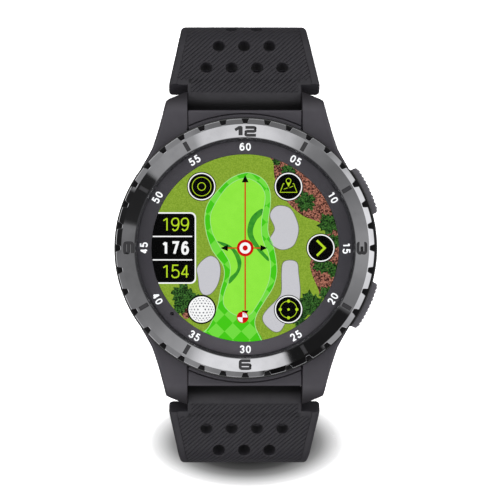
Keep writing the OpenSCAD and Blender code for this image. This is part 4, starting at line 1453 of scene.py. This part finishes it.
def hole_cutters(half):
    """Cylinders with flared ends, standing on the flat pattern."""
    shape = Shape()
    half_t, flare = STRAP_T / 2, 0.16
    for x, s in hole_places(half):
        levels = [(-half_t - 0.3, HOLE_D / 2 + flare + 0.3), (-half_t + flare, HOLE_D / 2),
                  (half_t - flare, HOLE_D / 2), (half_t + 0.3, HOLE_D / 2 + flare + 0.3)]
        shape.loft([[(*p, n) for p in circle((x, s), r, 40)] for n, r in levels])
    return shape.object("holes")


def strap(half, name, replaced):
    """One moulding: slab, ribs and tab, holes cut through, then laid along its route."""
    slab = combine(strap_slab(half), hole_cutters(half), "DIFFERENCE")
    ribs = combine(strap_ribs(half), hole_cutters(half), "DIFFERENCE")
    parts = [slab, ribs]
    if half is SHORT:
        slot = Shape()
        slot.prism(rectangle(-1.6, 1.6, half.end_s - 2.4, half.end_s + 4), -4, 4)
        combine(slab, slot.object("slot"), "DIFFERENCE")
        for side in (-1, 1):
            roll = Shape()
            span = (1.6, STRAP_HALF_W)
            radii = [(span[0], 1.45), (span[0] + 0.1, 1.5), (span[1] - 0.3, 1.5), (span[1], 1.2)]
            roll.loft([[(side * x, half.end_s + s, n) for s, n in circle((0, 0), r, 32)] for x, r in radii])
            parts.append(roll.object("roll"))
    parts.append(strap_tab(half))
    piece = join(name, parts)
    for vertex in piece.data.vertices:
        x, s, n = (c / MM for c in vertex.co)
        if half is SHORT and s > half.level_s:
            point = half.place(x, half.level_s, n) - Vector((0, s - half.level_s, 0))
        else:
            point = half.place(x, s, n)
        vertex.co = point * MM
    tidy_mesh(piece.data)
    finish_piece(piece, None, MATERIALS["strap"], replaced, 40)
    start = half.place(0, half.corner_s - 4, 0) * MM
    end = half.place(0, half.corner_s + 4, 0) * MM
    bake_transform(piece)
    return piece


# ---- Keepers and buckle ----

def keeper(name, half, centre_s, inside, outside, half_w, body, replaced):
    """A rounded loop round the strap, laid along the half's route."""
    width, thick, corner = 6.5, 1.1, 1.0
    x, low_n, high_n = half_w + thick / 2, -inside - thick / 2, outside + thick / 2
    loop = rounded_box(x, low_n, high_n, corner, 6)
    section = rounded_box(width / 2, -thick / 2, thick / 2, 0.4, 4)
    dense = []
    for (s0, d0), (s1, d1) in zip(section, section[1:] + section[:1]):
        steps = max(1, int(abs(s1 - s0) / 0.8))
        dense += [(s0 + (s1 - s0) * i / steps, d0 + (d1 - d0) * i / steps) for i in range(steps)]
    left, right = ribbon([Vector(p) for p in loop], 1.0, True)
    rings = []
    for (lx, ln), (rx, rn) in zip(left, right):
        out_x, out_n = rx - lx, rn - ln
        mid_x, mid_n = (lx + rx) / 2, (ln + rn) / 2
        rings.append([half.place(mid_x + out_x * d, centre_s + s, mid_n + out_n * d) for s, d in dense])
    shape = Shape()
    shape.loft(rings, wrap=True)
    return finish_piece(shape.object(name), body, MATERIALS["strap"], replaced)


def keepers():
    fixed_s = SHORT.level_s - SHORT.corner_r * math.radians(56)
    keeper("fixed_loop", SHORT, fixed_s, 1.5, 4.9, STRAP_HALF_W + 0.15, "short_end", ["fixed_keeper"])
    keeper("free_loop", SHORT, SHORT.side_s + 21, 4.9, 1.7, STRAP_HALF_W + 0.6, "loose_keeper",
           ["free_keeper"])


def soften(name, width=0.18, segments=3):
    """Rounds the hard edges of a CAD node without touching its mesh."""
    node = nodes[name]
    weld = node.modifiers.new("weld", "WELD")
    weld.merge_threshold = 0.001 * MM
    bevel = node.modifiers.new("rounded edges", "BEVEL")
    bevel.width = width * MM
    bevel.segments = segments
    bevel.limit_method = "ANGLE"
    bevel.angle_limit = math.radians(40)
    bevel.harden_normals = False


# ---- Studio ----

# Brightness, 0 to 255, at degrees clockwise from 12 o'clock, as read off the photo's bezel face
# and rim. The panels are given it over the metal's own shade, so that the bezel shows it again.
FACE_LIGHT = [(0, 204), (12, 205), (24, 178), (35, 121), (50, 97), (66, 110), (85, 137), (100, 132),
              (120, 108), (121.5, 27), (156, 25), (159, 196), (175, 214), (198, 210), (206, 158),
              (228, 122), (250, 104), (270, 102), (281, 108), (283, 36), (308, 34), (310, 132),
              (336, 144), (340, 190), (350, 196), (360, 204)]
RIM_LIGHT = [(0, 104), (25, 100), (42, 125), (52, 175), (64, 212), (90, 222), (112, 206), (124, 150),
             (138, 140), (142, 22), (170, 12), (173, 116), (192, 116), (204, 130), (235, 114), (268, 101),
             (271, 30), (297, 34), (299, 130), (335, 127), (345, 100), (360, 104)]
METAL_SHADE = 0.34
SKY_LIGHT = 1.5
SKY_TILT = -0.4
OVERHEAD = (0.12, 0.12, 0.125, 1)
FLOOR_GAIN = 2.2
FLOOR_BOUNCE = 0.2
SHADOW_X = 1.6
SHADOW_Y = 40.8
SHADOW_HALF_L = 9.0
SHADOW_HALF_W = 20.0
CAMERA_PLACE = (-11.4, -0.38, BACK_Z + 712.4)
CAMERA_TILT = 1.006


def world_light():
    """Soft studio surroundings: two rings of panels and dark flags, and a bright band between."""
    world = bpy.data.worlds.new("studio")
    world.use_nodes = True
    bpy.context.scene.world = world
    made = Nodes(world.node_tree)
    x, y, z = made.split(made.new("TexCoord").outputs["Generated"])
    azimuth = made.maths("FRACT", made.maths("DIVIDE", made.maths("ARCTAN2", x, y), 2 * math.pi))

    def panels(stops):
        lights = [(angle / 360, linear(brightness) / METAL_SHADE) for angle, brightness in stops]
        return made.ramp(azimuth, [(position, (v, v, v * 1.01, 1)) for position, v in lights])

    def rise(low_z, high_z):
        node = made.new("MapRange", Value=z, From_Min=low_z, From_Max=high_z)
        node.interpolation_type = "SMOOTHSTEP"
        return node.outputs["Result"]

    sky = made.maths("MULTIPLY", made.maths("MULTIPLY_ADD", x, SKY_TILT, 1.0), SKY_LIGHT)
    lower = made.mix(rise(0.36, 0.46), panels(RIM_LIGHT), sky)
    upper = made.mix(rise(0.74, 0.80), lower, panels(FACE_LIGHT))
    background = world.node_tree.nodes["Background"]
    made.link(made.mix(rise(0.93, 0.97), upper, OVERHEAD), background.inputs["Color"])
    background.inputs["Strength"].default_value = 1.0


def painted_contact_shadow(made):
    """Brightness of the floor: a painted shadow, a soft dark ellipse where the strap stands near it."""
    x, y, _ = made.split(made.place)
    across = made.maths("DIVIDE", made.maths("SUBTRACT", x, SHADOW_X), SHADOW_HALF_W)
    inwards = made.maths("DIVIDE", made.maths("ADD", y, SHADOW_Y), SHADOW_HALF_L)
    squares = made.maths("ADD", made.maths("MULTIPLY", across, across),
                         made.maths("MULTIPLY", inwards, inwards))
    # Painted shadow: dark in the ellipse's middle, fading to the plain floor at its edge.
    shade = made.ramp(made.maths("MULTIPLY", made.maths("SQRT", squares), 0.8),
                      [(0.36, 0.012), (0.5, 0.045), (0.62, 0.17), (0.73, 0.4), (0.8, 0.54), (0.9, 1.0)])
    contact = made.new("AmbientOcclusion", Distance=0.03)
    contact.samples = 32
    return made.maths("MAXIMUM", shade, made.ramp(contact.outputs["AO"], [(0.98, 0.0), (0.998, 1.0)]))


def floor_material():
    """Pale floor with a painted contact shadow, exposed to white for the camera and dimmer in what it
    throws back.
    """
    made = Recipe("pale_floor")
    grain = made.ramp(made.noise(60, 3), [(0.3, 0.98), (0.7, 1.0)])
    tone = made.maths("MULTIPLY", made.maths("MULTIPLY", painted_contact_shadow(made), grain), FLOOR_GAIN)
    shown = made.new("BsdfDiffuse", Color=tone)
    thrown = made.new("BsdfDiffuse", Color=(FLOOR_BOUNCE, FLOOR_BOUNCE, FLOOR_BOUNCE, 1))
    made.show(made.new("LightPath").outputs["Is Camera Ray"], thrown, shown)
    return made.material


def studio():
    """Pale floor, soft surroundings and a camera above the face, a degree to its left."""
    world_light()
    bpy.ops.mesh.primitive_plane_add(size=3.0, location=(0, 0, -0.00002))
    floor = bpy.context.object
    floor.name = "studio_floor"
    floor.data.materials.append(floor_material())
    camera_data = bpy.data.cameras.new("camera")
    camera_data.sensor_width = 36
    camera_data.lens = 265.3
    camera_data.clip_start = 0.01
    camera_data.clip_end = 10
    camera = bpy.data.objects.new("camera", camera_data)
    camera.location = [c * MM for c in CAMERA_PLACE]
    camera.rotation_euler = (0, math.radians(-CAMERA_TILT), 0)
    scene = bpy.context.scene
    scene.collection.objects.link(camera)
    scene.camera = camera
    scene.view_settings.view_transform = "Standard"
    scene.view_settings.look = "None"


# ---- Build ----

paint_nodes()
case_shell()
trim()
bezel()
# The dark rims left round the paler cores are painted edge shade.
bezel_marks("hour_marks", 0, MATERIALS["marking"])
bezel_marks("hour_mark_cores", 0.15, MATERIALS["core"])
cover_glass()
chapter_ring()
minute_numerals()
display()
pusher(1, "upper_pusher")
pusher(-1, "lower_pusher")
strap(LONG, "long_strap_moulding", ["long_strap_root", "long_strap_tail"])
strap(SHORT, "short_strap_moulding", ["short_strap_root", "short_strap_end"])
keepers()
for node_name in ("buckle_frame", "buckle_tang", "case_back"):
    soften(node_name)
studio()
